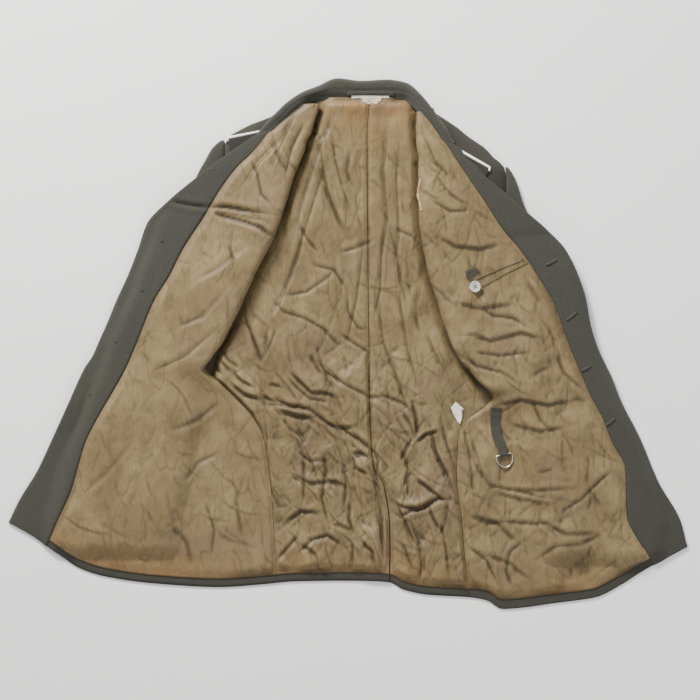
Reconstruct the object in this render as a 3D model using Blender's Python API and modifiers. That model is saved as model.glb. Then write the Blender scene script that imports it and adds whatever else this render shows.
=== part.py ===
"""A lined wool tunic that lies open on its back, seen lining side up.

Right and left are the wearer's, so the right half lies at -X. The neck points to +Y and the
table is the plane Z = 0. Each front is folded back on itself at the chest: it leaves the armhole
wool side up, rolls over at the fold, and comes back outward with its lining on top. Sizes in the
tables are millimetres, a row for each section.
"""

from collections import namedtuple
import math

import bpy
import bmesh
from mathutils import Vector
from mathutils.bvhtree import BVHTree

MM = 0.001
NAME = "military_dress_jacket"

# Walls and the gaps between them.
WOOL = 2.0
SATIN = 1.2
FACING = 1.8
LAPEL = 3.4
COLLAR_WALL = 2.4
SEAM = 0.3
LAY = 0.5

# Where a front's section changes from under layer to roll, flap and facing.
SECTION_CELLS = 14
ROLL_FROM = 2 / SECTION_CELLS
ROLL_TO = 6 / SECTION_CELLS
FACING_FROM = 13 / SECTION_CELLS
FACING_START = 0.0125
FLAT_STRETCH = 12.0
CREST_WIDTH = 52.0

# The rows of the last stretch down to the hem; the linings stop at the last but one.
HEM_SHARES = (0, 0.2, 0.4, 0.6, 0.8, 0.945, 1)

WOOL_COLOUR = (0.095, 0.090, 0.078, 1)
SATIN_COLOUR = (0.330, 0.240, 0.130, 1)
WHITE_COLOUR = (0.78, 0.76, 0.70, 1)
BOARD_COLOUR = (0.045, 0.043, 0.036, 1)
STEEL_COLOUR = (0.55, 0.54, 0.50, 1)
HORN_COLOUR = (0.50, 0.50, 0.47, 1)

# A front, from the neck down: its start at the shoulder, armhole or side seam, the height and
# heading there, the under layer's length, the roll's radius, the front edge, its height, and the
# height of the flap's middle. Distances run outward from the picture's middle line.
Front = namedtuple("Front", "y start height heading under roll edge edge_height middle")
FRONT_RIGHT = [
    Front(374, 70, 7.4, 180, 18, 5.0, 70, 17.0, 17.0),
    Front(360, 108, 6.6, 180, 52, 6.0, 88, 18.0, 18.0),
    Front(350, 132, 6.2, 180, 72, 6.5, 99, 18.5, 18.5),
    Front(340, 158, 5.7, 180, 94, 7.5, 111, 19.0, 19.0),
    Front(332, 172, 5.6, 180, 106, 7.8, 121, 20.0, 19.5),
    Front(326, 183, 5.6, 180, 114, 8.0, 142, 21.0, 20.0),
    Front(310, 192, 5.6, 180, 115, 8.5, 167, 21.0, 20.5),
    Front(287, 192, 5.6, 180, 106, 9.0, 200, 21.0, 20.0),
    Front(261, 190, 5.6, 180, 93, 9.5, 234, 20.0, 19.0),
    Front(225, 190, 5.6, 180, 82, 10.0, 278, 17.0, 18.0),
    Front(189, 189, 5.6, 180, 68, 10.5, 313, 10.0, 16.0),
    Front(147, 187, 5.6, 180, 48, 11.0, 328, 7.4, 14.0),
    Front(106, 187, 5.6, 180, 26, 11.0, 344, 7.4, 12.0),
    Front(69, 190, 4.6, 172, 14, 11.0, 361, 7.4, 10.0),
    Front(37, 200, 3.2, 164, 11, 10.0, 374, 7.4, 8.0),
    Front(6, 211, 2.8, 158, 9, 8.0, 388, 7.4, 7.0),
    Front(-19, 222, 2.6, 138, 7, 6.0, 399, 7.4, 6.0),
    Front(-37, 224, 2.2, 84, 5, 5.0, 411, 7.8, 5.0),
    Front(-62, 197, 2.0, 26, 4, 5.0, 423, 8.4, 3.0),
    Front(-87, 172, 2.0, 0, 4, 5.0, 434, 8.6, 2.0),
    Front(-111, 150, 2.0, 0, 4, 5.0, 445, 7.0, 2.0),
    Front(-150, 131, 2.0, 0, 4, 5.0, 463, 3.0, 2.0),
    Front(-197, 124, 2.0, 0, 4, 5.0, 485, 2.0, 2.0),
    Front(-243, 119, 2.0, 0, 4, 5.0, 513, 2.0, 2.0),
    Front(-278, 117, 2.0, 0, 4, 5.0, 530, 2.0, 2.0),
    Front(-380, 111, 2.0, 0, 4, 5.0, 581, 2.0, 2.0),
]
FRONT_LEFT = [
    Front(362, 134, 6.8, 180, 21, 5.0, 115, 17.0, 17.0),
    Front(349, 154, 6.2, 180, 40, 6.0, 126, 18.0, 18.0),
    Front(337, 172, 5.7, 180, 57, 7.0, 135, 19.0, 19.0),
    Front(325, 186, 5.6, 180, 69, 7.5, 143, 20.0, 19.5),
    Front(316, 199, 5.6, 180, 82, 7.8, 149, 20.5, 20.0),
    Front(309, 210, 5.6, 180, 92, 8.0, 169, 21.0, 20.0),
    Front(303, 217, 5.6, 180, 98, 8.0, 176, 21.0, 20.0),
    Front(290, 228, 5.6, 180, 107, 8.5, 184, 21.0, 20.0),
    Front(278, 243, 5.6, 180, 122, 9.0, 198, 21.0, 20.0),
    Front(259, 246, 5.6, 180, 124, 9.0, 216, 21.0, 20.0),
    Front(237, 246, 5.6, 180, 123, 9.5, 243, 20.5, 20.0),
    Front(211, 246, 5.6, 180, 122, 10.0, 272, 19.5, 19.0),
    Front(181, 245, 5.6, 180, 119, 10.5, 307, 17.0, 18.0),
    Front(147, 242, 5.6, 180, 111, 11.0, 339, 8.0, 16.0),
    Front(106, 237, 5.6, 180, 97, 11.0, 359, 2.0, 15.0),
    Front(69, 231, 5.6, 180, 79, 11.0, 371, 2.0, 14.0),
    Front(30, 222, 5.0, 178, 58, 11.0, 378, 2.0, 12.0),
    Front(-8, 217, 4.0, 174, 39, 11.0, 390, 2.0, 10.0),
    Front(-33, 218, 3.2, 168, 27, 10.0, 402, 2.0, 8.0),
    Front(-56, 225, 2.8, 158, 18, 8.0, 413, 2.0, 6.0),
    Front(-83, 226, 2.2, 84, 6, 5.0, 423, 2.0, 3.0),
    Front(-106, 204, 2.0, 26, 4, 5.0, 434, 2.0, 2.0),
    Front(-126, 178, 2.0, 0, 4, 5.0, 445, 2.0, 2.0),
    Front(-150, 172, 2.0, 0, 4, 5.0, 457, 2.0, 2.0),
    Front(-212, 170, 2.0, 0, 4, 5.0, 483, 2.0, 2.0),
    Front(-275, 178, 2.0, 0, 4, 5.0, 519, 2.0, 2.0),
    Front(-317, 181, 2.0, 0, 4, 5.0, 530.5, 2.0, 2.0),
    Front(-390, 190, 2.0, 0, 4, 5.0, 564, 2.0, 2.0),
]
# The heights at which a front's solid has a row, down to where its stretch to the hem begins.
ROWS_RIGHT = [
    374, 362, 350, 340, 332, 326, 312, 292, 268, 243, 217, 190, 161, 132, 103, 76, 50, 24,
    0, -20, -38, -58, -80, -104, -130,
]
ROWS_LEFT = [
    362, 349, 337, 325, 316, 309, 299, 284, 266, 243, 217, 190, 161, 130, 98, 66, 34, 4,
    -22, -46, -66, -84, -100, -114, -130,
]
# The same for the backs, which keep the fronts' rows along the side seam.
BACK_ROWS_RIGHT = [
    385, 372, 352, 326, 298, 268, 235, 200, 165, 130, 95, 60, 24, 0, -20, -38, -58, -80, -104,
    -130,
]
BACK_ROWS_LEFT = [
    385, 372, 352, 326, 298, 268, 235, 200, 165, 130, 98, 66, 34, 4, -22, -46, -66, -84, -100,
    -114, -130,
]

# Where the satin meets the wool of the facing, or the collar above it.
Border = namedtuple("Border", "y out")
BORDER_RIGHT = [
    Border(374, 66), Border(349, 98), Border(331, 122), Border(312, 137), Border(293, 154),
    Border(275, 173), Border(237, 201), Border(200, 223), Border(144, 259), Border(106, 278),
    Border(69, 301), Border(-6, 332), Border(-44, 349), Border(-81, 370), Border(-119, 392),
    Border(-156, 410), Border(-193, 421), Border(-231, 432), Border(-268, 449),
    Border(-306, 465), Border(-380, 500),
]
BORDER_LEFT = [
    Border(362, 112), Border(349, 124), Border(331, 138), Border(312, 152), Border(293, 164),
    Border(256, 189), Border(218, 215), Border(181, 239), Border(144, 270), Border(106, 295),
    Border(69, 318), Border(-6, 346), Border(-44, 362), Border(-81, 378), Border(-119, 398),
    Border(-156, 413), Border(-193, 432), Border(-268, 435), Border(-306, 452),
    Border(-324, 465), Border(-390, 500),
]

# The hem from the right front's corner to the left front's. The vent makes a step in it.
Hem = namedtuple("Hem", "x y")
HEM = [
    Hem(-530, -279), Hem(-493, -300), Hem(-456, -326), Hem(-418, -351), Hem(-381, -363),
    Hem(-306, -374), Hem(-200, -380), Hem(-137, -376), Hem(-81, -371), Hem(-6, -370),
    Hem(48, -371), Hem(66, -373), Hem(87, -384), Hem(125, -392), Hem(190, -396),
    Hem(218, -401), Hem(240, -414.2), Hem(331, -404), Hem(387, -396), Hem(424, -378),
    Hem(462, -354), Hem(499, -334), Hem(530, -317),
]

# The sleeves' sections under the fronts, from the shoulder point to the cuff.
Sleeve = namedtuple("Sleeve", "y inner outer height")
SLEEVE_RIGHT = [
    Sleeve(318, 193.2, 199, 6), Sleeve(306, 193.2, 212, 9), Sleeve(287, 193.2, 223, 10),
    Sleeve(261, 192.2, 237, 11), Sleeve(232, 191.4, 247, 11), Sleeve(201, 191.0, 260, 12),
    Sleeve(161, 190.0, 270, 12), Sleeve(115, 196.0, 288, 13), Sleeve(80, 209.0, 300, 13),
    Sleeve(30, 238.0, 322, 13), Sleeve(-25, 264.0, 344, 12), Sleeve(-87, 272.0, 366, 12),
    Sleeve(-150, 282.0, 388, 11), Sleeve(-212, 294.0, 410, 11), Sleeve(-275, 310.0, 428, 10),
]
SLEEVE_LEFT = [
    Sleeve(276, 245.4, 250, 6), Sleeve(268, 247.0, 256, 8), Sleeve(256, 247.2, 262, 10),
    Sleeve(242, 247.2, 267, 11), Sleeve(225, 247.2, 272, 11), Sleeve(206, 247.2, 280, 11),
    Sleeve(170, 246.2, 300, 12), Sleeve(120, 243.0, 322, 13), Sleeve(75, 241.0, 332, 13),
    Sleeve(30, 246.0, 342, 13), Sleeve(-33, 266.0, 360, 12), Sleeve(-90, 290.0, 384, 12),
    Sleeve(-150, 314.0, 408, 11), Sleeve(-212, 332.0, 430, 11), Sleeve(-285, 348.0, 448, 10),
]
SLEEVE_MARGIN = 22.0
CUFF_MARGIN = 34.0
SLEEVE_FALL = 38.0
CUFF_SLOT = 2.6
CUFF_WALL = 3.0
CUFF_DEPTH = 70.0

# The collar, from the right gorge round the neck to the left gorge: neck seam, roll, heights.
Collar = namedtuple("Collar", "seam_x seam_y roll_x roll_y seam_height top fall_height fall")
COLLAR = [
    Collar(-124.5, 332, -142, 335, 20.5, 23.5, 12.6, 24),
    Collar(-101, 350, -116, 357, 19.0, 23.0, 12.6, 20),
    Collar(-82, 368, -95, 377, 18.0, 21.5, 12.0, 12),
    Collar(-64, 380, -71, 393, 13.0, 18.0, 7.0, 7),
    Collar(-44, 386, -47, 403, 7.0, 14.0, 0.0, 11),
    Collar(-15, 386, -16, 415, 5.4, 13.0, 0.0, 32),
    Collar(22, 386, 22, 411, 5.4, 12.0, 0.0, 34),
    Collar(58, 386, 60, 413, 5.4, 12.0, 0.0, 32),
    Collar(86, 386, 91, 408, 7.0, 13.0, 0.0, 12),
    Collar(104, 376, 114, 389, 13.0, 18.0, 7.0, 7),
    Collar(118, 361, 130, 369, 18.0, 21.5, 12.0, 12),
    Collar(139, 335, 152, 338, 20.0, 23.5, 12.6, 18),
    Collar(151.5, 317, 164, 321, 21.0, 24.0, 12.6, 22),
]

# The centre line of the back, and how far the right half laps over the left at the vent.
Centre = namedtuple("Centre", "y x lap")
CENTRE = [
    Centre(386, 34, 0), Centre(321, 30, 0), Centre(0, 33, 0), Centre(-160, 36, 0),
    Centre(-195, 41, 0), Centre(-222, 47, 9), Centre(-292, 52, 13), Centre(-400, 50, 14),
]
NECK_CORNERS = {-1: 44, 1: 86}
NECK_Y = 385.0
BACK_COLUMNS = 9
LAP_SPACE = 2.0
COLLAR_BED = 3.4
VENT_TOP_Y = -118.0
FACING_ROW = 5
LAPEL_WIDTH = 52.0
LAPEL_SPANS = {-1: (319.0, 216.0), 1: (303.0, 194.0)}

# The largest folds of the loose satin: a line, its height and its half width.
Fold = namedtuple("Fold", "x0 y0 x1 y1 height half_width")
BACK_FOLDS = [
    Fold(32, 350, 24, 150, 5, 11), Fold(-40, 330, 10, 60, 5, 12), Fold(64, 330, 60, 60, 5, 11),
    Fold(-110, 120, 20, 20, 5, 12), Fold(-160, 60, -20, -50, 6, 13), Fold(60, 20, 140, 60, 5, 12),
    Fold(-150, -50, -30, -160, 5, 12), Fold(0, -60, 40, -230, 6, 12),
    Fold(60, -40, 150, -160, 6, 13), Fold(-90, -180, -60, -330, 5, 12),
    Fold(10, -190, 30, -340, 5, 11), Fold(90, -190, 130, -350, 6, 12),
    Fold(-30, -150, 30, -180, 6, 12), Fold(130, 0, 150, -90, 5, 11),
]
FRONT_FOLDS = [
    Fold(-150, 215, -260, 212, 6, 12), Fold(-125, 180, -220, 200, 5, 12),
    Fold(-190, -20, -330, -60, 4, 14), Fold(-200, -90, -300, -190, 4, 13),
    Fold(-160, -170, -190, -330, 4, 13), Fold(-330, -60, -380, -180, 4, 13),
    Fold(140, 230, 170, 120, 5, 12), Fold(160, 60, 250, 20, 5, 12),
    Fold(200, -10, 320, -60, 4, 13), Fold(190, -120, 210, -300, 5, 12),
    Fold(270, -240, 300, -370, 4, 13), Fold(330, -120, 400, -260, 4, 14),
]

# Small pieces.
BOARD_LENGTH = 98.0
BOARD_WIDE = 46.0
BOARD_NARROW = 38.0
BOARD_THICK = 3.0
PIPING = 3.0
SHOULDER_TOP = 7.6
BUTTON_RADIUS = 11.0
BUTTON_THICK = 4.2
BUTTONS_RIGHT = [(-290, 161), (-320, 84), (-362, 5), (-402, -78)]
POCKET_BUTTON = (197.5, 89.0)
POCKET_BUTTON_RADIUS = 8.8
POCKET_BUTTON_THICK = 3.0
WELT_ENDS = [(203, 96), (273, 130)]
WELT_WIDTH = 8.0
TAB_CORNERS = [(183, 113), (199, 119), (204, 113), (188, 98)]
STRAP_LINE = [(231, -97), (230, -120), (232, -146), (241.2, -164.7)]
STRAP_WIDTH = 17.0
STRAP_THICK = 1.5
STRAP_CELLS = 10
RING_CENTRE = (243.0, -172.5)
RING_TILT = 13.0
RING_WIRE = 2.4
RING_BAR = 26.0
RING_DEPTH = 20.0
TAG_CORNERS = [(160, -100), (168, -91), (180, -101), (178, -125), (172, -124)]
TAB_SPAN = [(-2, 391), (72, 391)]
LABEL_CORNERS = [(6, 383), (64, 383), (60, 378), (50, 372), (24, 372), (20, 377)]

right, left = -1, 1
UP = Vector((0, 0, 1))
FRONTS = {right: FRONT_RIGHT, left: FRONT_LEFT}
ROWS = {right: ROWS_RIGHT, left: ROWS_LEFT}
BACK_ROWS = {right: BACK_ROWS_RIGHT, left: BACK_ROWS_LEFT}
BORDERS = {right: BORDER_RIGHT, left: BORDER_LEFT}
SLEEVES = {right: SLEEVE_RIGHT, left: SLEEVE_LEFT}
SIDES = {right: "right", left: "left"}


def ease(t):
    """Nought to one with level ends."""
    t = min(max(t, 0.0), 1.0)
    return t * t * (3 - 2 * t)


def read(table, column, at):
    """A column's value at a station, on a smooth curve that never overshoots its rows."""
    keys = [row[0] for row in table]
    sign = 1 if keys[-1] > keys[0] else -1
    keys = [sign * key for key in keys]
    values = [getattr(row, column) for row in table]
    at = min(max(sign * at, keys[0]), keys[-1])
    i = 0
    while i < len(keys) - 2 and at > keys[i + 1]:
        i += 1
    steps = [(values[k + 1] - values[k]) / (keys[k + 1] - keys[k]) for k in range(len(keys) - 1)]

    def slope(k):
        if k == 0 or k == len(keys) - 1:
            return steps[min(k, len(steps) - 1)]
        if steps[k - 1] * steps[k] <= 0:
            return 0.0
        return 2 * steps[k - 1] * steps[k] / (steps[k - 1] + steps[k])

    span = keys[i + 1] - keys[i]
    t = (at - keys[i]) / span
    return (
        values[i] * (1 + 2 * t) * (1 - t) ** 2
        + values[i + 1] * t * t * (3 - 2 * t)
        + span * slope(i) * t * (1 - t) ** 2
        - span * slope(i + 1) * t * t * (1 - t)
    )


def sleeve_bed(side, out, y):
    """Height that the sleeve below gives a front, with soft shoulders on both sides."""
    table = SLEEVES[side]
    inner = read(table, "inner", y)
    outer = read(table, "outer", y)
    height = read(table, "height", y)
    beyond = max(inner - SLEEVE_MARGIN - out, out - outer - SLEEVE_MARGIN, 0.0)
    past_end = max(table[-1].y - CUFF_MARGIN - y, y - table[0].y, 0.0)
    return (height + WOOL + 1.0) * (1 - ease(math.hypot(beyond, past_end) / SLEEVE_FALL))


def section(side, y, u):
    """A front's section at one height: distance outward and height of its lining side."""
    table = FRONTS[side]
    out = read(table, "start", y)
    height = read(table, "height", y)
    turn = math.radians(read(table, "heading", y))
    under = read(table, "under", y)
    roll = read(table, "roll", y)
    share = min(u / ROLL_FROM, 1.0)
    out += under * share * math.cos(turn)
    height += under * share * math.sin(turn)
    if u <= ROLL_FROM:
        return out, height
    length = roll * turn + FLAT_STRETCH * (1 - turn / math.pi)
    share = min((u - ROLL_FROM) / (ROLL_TO - ROLL_FROM), 1.0)
    if turn < 0.01:
        out += length * share
    else:
        radius = length / turn
        now = turn * (1 - share)
        out += radius * (math.sin(turn) - math.sin(now))
        height += radius * (math.cos(now) - math.cos(turn))
    if u <= ROLL_TO:
        return out, height
    edge = read(table, "edge", y)
    border = min(read(BORDERS[side], "out", y), edge - 2.0)
    if u <= FACING_FROM:
        at = out + (border - out) * (u - ROLL_TO) / (FACING_FROM - ROLL_TO)
    else:
        at = border + (edge - border) * (u - FACING_FROM) / (1 - FACING_FROM)
    return at, flap_height(side, y, out, height, at)


def flap_height(side, y, crest_out, crest_height, at):
    """The flap falls from its crest to what lies below it, and to its front edge."""
    table = FRONTS[side]
    edge = read(table, "edge", y)
    t = min(max((at - crest_out) / (edge - crest_out), 0.0), 1.0)
    crest = math.exp(-((at - crest_out) / CREST_WIDTH) ** 2)
    middle = read(table, "middle", y)
    rest = middle + (read(table, "edge_height", y) - middle) * t ** 1.5
    rest = max(rest, sleeve_bed(side, at, y))
    return rest + (crest_height - rest) * crest


def hem_at(x):
    return read(HEM, "y", x)


def hem_of(side, u):
    """Where a front's line of one u meets the hem."""
    y = -370.0
    for _ in range(12):
        out, _ = section(side, max(y, FRONTS[side][-1].y), u)
        y = hem_at(side * out)
    return y


def front_point(side, u, v):
    """A point of the front's lining side. v runs over the rows, the last ones down to the hem."""
    rows = ROWS[side]
    at = v * front_cells(side)
    i = min(int(at), len(rows) - 2)
    if at <= len(rows) - 1:
        y = rows[i] + (rows[i + 1] - rows[i]) * (at - i)
    else:
        y = rows[-1] + (hem_of(side, u) - rows[-1]) * hem_share(at - len(rows) + 1)
    out, height = section(side, y, u)
    return Vector((side * out, y, height))


def hem_share(cells):
    """How much of the way from the last row to the hem some cells make."""
    i = min(int(cells), len(HEM_SHARES) - 2)
    return HEM_SHARES[i] + (HEM_SHARES[i + 1] - HEM_SHARES[i]) * (cells - i)


def front_cells(side):
    return len(ROWS[side]) + len(HEM_SHARES) - 2


def front_normal(side, u, v):
    """Across the whole cells on either side, so the sheets of one front agree on it."""
    step_u = 1 / SECTION_CELLS
    step_v = 1 / front_cells(side)
    along_u = front_point(side, min(u + step_u, 1), v) - front_point(side, max(u - step_u, 0), v)
    along_v = front_point(side, u, min(v + step_v, 1)) - front_point(side, u, max(v - step_v, 0))
    return (side * along_v.cross(along_u)).normalized()


def on_lattice(value_at, columns, rows, s, t):
    """A value between those of the four lattice corners round it, so two sheets share facets."""
    i = min(int(s * columns + 0.001), columns - 1)
    j = min(int(t * rows + 0.001), rows - 1)
    a = s * columns - i
    b = t * rows - j
    upper = value_at(i / columns, j / rows).lerp(value_at((i + 1) / columns, j / rows), a)
    lower = value_at(i / columns, (j + 1) / rows).lerp(value_at((i + 1) / columns, (j + 1) / rows), a)
    return upper.lerp(lower, b)


def front_frame(side, u, v):
    """A point on the front's own facets and the direction of its wall there."""
    rows = front_cells(side)
    point = on_lattice(lambda a, b: front_point(side, a, b), SECTION_CELLS, rows, u, v)
    normal = on_lattice(lambda a, b: front_normal(side, a, b), SECTION_CELLS, rows, u, v)
    return point, normal.normalized()


def fold_height(folds, x, y):
    """How far the loose satin stands up at a place."""
    total = 0.0
    for fold in folds:
        start = Vector((fold.x0, fold.y0))
        line = Vector((fold.x1, fold.y1)) - start
        t = min(max((Vector((x, y)) - start).dot(line) / line.length_squared, 0.0), 1.0)
        away = (Vector((x, y)) - start - line * t).length
        total = max(total, fold.height * math.exp(-(away / fold.half_width) ** 2))
    return total


def material(name, colour, roughness, metallic=0.0):
    found = bpy.data.materials.get(name)
    if found:
        return found
    made = bpy.data.materials.new(name)
    made.use_nodes = True
    shader = made.node_tree.nodes["Principled BSDF"]
    shader.inputs["Base Color"].default_value = colour
    shader.inputs["Roughness"].default_value = roughness
    shader.inputs["Metallic"].default_value = metallic
    return made


def new_object(name, mesh, finish):
    made = bpy.data.objects.new(name, mesh)
    made.data.materials.append(finish)
    parts.objects.link(made)
    return made


def sheet(name, columns, rows, place, low, high, finish):
    """A grid extruded to a wall. place(s, t) gives a point and a direction, low and high are the
    distances of its two faces along that direction."""
    bm = bmesh.new()
    bmesh.ops.create_grid(bm, x_segments=columns, y_segments=rows, size=0.5)
    bmesh.ops.triangulate(bm, faces=bm.faces, quad_method="FIXED")
    grown = bmesh.ops.extrude_face_region(bm, geom=bm.faces[:], use_keep_orig=True)
    upper = {item for item in grown["geom"] if isinstance(item, bmesh.types.BMVert)}
    for vert in bm.verts:
        point, direction = place(vert.co.x + 0.5, 0.5 - vert.co.y)
        vert.co = (point + direction * (high if vert in upper else low)) * MM
    bmesh.ops.recalc_face_normals(bm, faces=bm.faces)
    if bm.calc_volume(signed=True) < 0:
        bmesh.ops.reverse_faces(bm, faces=bm.faces)
    mesh = bpy.data.meshes.new(name)
    bm.to_mesh(mesh)
    bm.free()
    return new_object(name, mesh, finish)


def side_name(piece, side):
    return piece + "_" + SIDES[side]


def make_front(side, finish):
    def place(s, t):
        return front_point(side, s, t), front_normal(side, s, t)

    return sheet(side_name("front", side), SECTION_CELLS, front_cells(side), place, -WOOL, 0, finish)


def make_front_lining(side, finish):
    first = round(ROLL_FROM * SECTION_CELLS)
    cells = round(FACING_FROM * SECTION_CELLS) - first
    rows = front_cells(side) - 1

    def place(s, t):
        v = t * rows / (rows + 1)
        y = front_point(side, 0, v).y
        u = ROLL_FROM + (FACING_FROM - ROLL_FROM) * s
        if s < 0.5 / cells:
            flat = 1 - ease(read(FRONTS[side], "heading", y) / 60)
            u = ROLL_FROM * (1 - flat) + 0.02 * flat
        point, normal = front_frame(side, u, v)
        if ROLL_TO + 0.05 < u < FACING_FROM - 0.02 and t < 0.98:
            point += normal * fold_height(FRONT_FOLDS, point.x, point.y)
        return point, normal

    return sheet(side_name("front_lining", side), cells, rows, place, SEAM, SEAM + SATIN, finish)


def make_facing(side, finish):
    rows = front_cells(side)

    def place(s, t):
        u = FACING_FROM + (1 - FACING_FROM) * (FACING_START + (1 - FACING_START) * s)
        return front_frame(side, u, (FACING_ROW + (rows - FACING_ROW) * t) / rows)

    return sheet(side_name("facing", side), 1, rows - FACING_ROW, place, SEAM, SEAM + FACING, finish)


def make_lapel(side, front, finish):
    """Two layers of wool folded beneath the front, widest at the notch."""
    top_y, low_y = LAPEL_SPANS[side]

    def place(s, t):
        y = top_y + (low_y - top_y) * t
        edge, _ = section(side, y, 1)
        width = LAPEL_WIDTH * (0.55 + 0.45 * ease(t / 0.25)) * (1 - t ** 1.5) + 8
        crest, _ = section(side, y, ROLL_TO)
        width = min(width, edge - crest - 16)
        at = edge - 1 - width * (1 - s)
        _, crest_height = section(side, y, ROLL_TO)
        expected = flap_height(side, y, crest, crest_height, at) - WOOL
        near = [(side * (at + a), y + b) for a in (-7, 0) for b in (-6, 0, 6)]
        heights = [height_under(front, *spot) for spot in near] + [expected]
        low = min(height for height in heights if height > expected - 4)
        return Vector((side * at, y, low - LAY)), UP

    return sheet(side_name("lapel", side), 2, 8, place, -LAPEL, 0, finish)


def outer_line(side, y):
    """Where a back half ends: shoulder, armhole or side seam."""
    table = FRONTS[side]
    if y > table[0].y:
        share = (y - table[0].y) / (NECK_Y - table[0].y)
        return table[0].start + (NECK_CORNERS[side] - table[0].start) * share
    return read(table, "start", y)


def back_bed(side, x, y):
    """What lifts the back off the table: the collar's fall, and the lap at the vent."""
    lift = COLLAR_BED * ease((y - 352) / 20) * ease((NECK_CORNERS[side] - 5 - side * x) / 16)
    centre = read(CENTRE, "x", y)
    if side == right:
        lift += (WOOL + SEAM) * ease((x - centre + 34) / 24) * ease((VENT_TOP_Y - y) / 40)
    return lift


def back_cells(side):
    return len(BACK_ROWS[side]) + len(HEM_SHARES) - 2


def back_x(side, s, y):
    """Across a back half: s runs from the centre line out to the shoulder, armhole or side seam."""
    inner = read(CENTRE, "x", y) + side * SEAM
    if side == right and y < -195:
        inner += read(CENTRE, "lap", y) + 2 * SEAM
    outer = side * (outer_line(side, y) - SEAM)
    return inner + (outer - inner) * s


def back_point(side, s, t):
    """A point of the back's lining side. t runs over the rows, the last ones down to the hem."""
    rows = BACK_ROWS[side]
    at = t * back_cells(side)
    i = min(int(at + 0.001), len(rows) - 2)
    if at <= len(rows) - 1:
        y = rows[i] + (rows[i + 1] - rows[i]) * (at - i)
    else:
        end = -370.0
        for _ in range(12):
            end = hem_at(back_x(side, s, end))
        y = rows[-1] + (end - rows[-1]) * hem_share(at - len(rows) + 1)
    x = back_x(side, s, y)
    return Vector((x, y, WOOL + back_bed(side, x, y)))


def make_back(side, finish):
    def place(s, t):
        return back_point(side, s, t), UP

    return sheet(side_name("back", side), BACK_COLUMNS, back_cells(side), place, -WOOL, 0, finish)


def fold_line(side, y):
    """How far out the back lining lies open: to the front's roll, or to the side seam."""
    table = FRONTS[side]
    roll = read(table, "start", y) - read(table, "under", y) - read(table, "roll", y)
    turned = ease(read(table, "heading", y) / 90)
    return roll * turned + (outer_line(side, y) + 20) * (1 - turned)


def make_back_lining(side, finish):
    rows = back_cells(side) - 1

    def place(s, t):
        v = t * rows / (rows + 1)
        plain = back_point(side, s, v)
        width = abs(back_x(side, 1, plain.y) - back_x(side, 0, plain.y))
        if s < 0.01 and side == left:
            s = (read(CENTRE, "lap", plain.y - 34) + LAP_SPACE * ease((-100 - plain.y) / 60)) / width
        if s > 0.99:
            s = 1 - (1 + 6 * ease((130 - plain.y) / 60)) / width
        point = on_lattice(lambda a, b: back_point(side, a, b), BACK_COLUMNS, rows + 1, s, v)
        if point.y < FRONTS[side][0].y + 10:
            open_to = fold_line(side, point.y)
            point.z += fold_height(BACK_FOLDS, point.x, point.y) * ease((open_to - 30 - abs(point.x)) / 18)
        return point, UP

    return sheet(side_name("back_lining", side), BACK_COLUMNS, rows, place, SEAM, SEAM + SATIN, finish)


def make_sleeve(side, finish):
    """A bunched sleeve: rounded outside, open at the cuff between its two layers."""
    table = SLEEVES[side]
    around = 12
    stations = [(row.y, row.inner, row.outer, 0.0, row.height) for row in table]
    cuff = table[-1]
    middle = cuff.height / 2
    for back in (0.0, CUFF_DEPTH / 2, CUFF_DEPTH):
        y = cuff.y + back
        inner = read(table, "inner", y) + CUFF_WALL
        outer = read(table, "outer", y) - CUFF_WALL
        stations.append((y, inner, outer, middle - CUFF_SLOT / 2, middle + CUFF_SLOT / 2))
    bm = bmesh.new()
    rings = []
    for y, inner, outer, low, high in stations:
        ring = []
        for k in range(around):
            angle = 2 * math.pi * (k + 0.5) / around
            wide = math.copysign(abs(math.cos(angle)) ** 0.55, math.cos(angle))
            tall = math.copysign(abs(math.sin(angle)) ** 0.75, math.sin(angle))
            out = (inner + outer) / 2 + (outer - inner) / 2 * wide
            ring.append(bm.verts.new(Vector((side * out, y, (low + high) / 2 + (high - low) / 2 * tall)) * MM))
        rings.append(ring)
    for first, second in zip(rings, rings[1:]):
        for k in range(around):
            after = (k + 1) % around
            bm.faces.new((first[k], first[after], second[after], second[k]))
    bm.faces.new(rings[0])
    bm.faces.new(rings[-1])
    bmesh.ops.recalc_face_normals(bm, faces=bm.faces)
    mesh = bpy.data.meshes.new(side_name("sleeve", side))
    bm.to_mesh(mesh)
    bm.free()
    return new_object(mesh.name, mesh, finish)


def collar_point(s, t, sunk=0.0):
    """A point of the collar's outer face: s round the neck, t from the neck seam to the fall."""
    index = [namedtuple("Station", ("at",) + Collar._fields)(i, *row) for i, row in enumerate(COLLAR)]
    at = s * (len(COLLAR) - 1)
    seam = Vector((read(index, "seam_x", at), read(index, "seam_y", at)))
    roll = Vector((read(index, "roll_x", at), read(index, "roll_y", at)))
    width = (roll - seam).length
    outward = (roll - seam).normalized()
    seam_height = read(index, "seam_height", at)
    top = read(index, "top", at)
    low = read(index, "fall_height", at)
    fall = read(index, "fall", at)
    half = (top - low) / 2 - sunk
    if t < 0.4:
        share = t / 0.4
        away = share * (width - half - sunk)
        height = seam_height + (top - seam_height) * math.sin(share * math.pi / 2) - sunk
    elif t < 0.7:
        angle = math.pi / 2 - math.pi * (t - 0.4) / 0.3
        away = width - half - sunk + half * math.cos(angle)
        height = (top + low) / 2 + half * math.sin(angle)
    else:
        away = width - half - sunk - (fall - half) * (t - 0.7) / 0.3
        height = low + sunk
    place = seam + outward * away
    return Vector((place.x, place.y, height))


def make_collar(finish):
    def place(s, t):
        outer = collar_point(s, t)
        inner = collar_point(s, t, COLLAR_WALL)
        return inner, (outer - inner) / COLLAR_WALL

    return sheet("collar", 24, 10, place, 0, COLLAR_WALL, finish)


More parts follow.
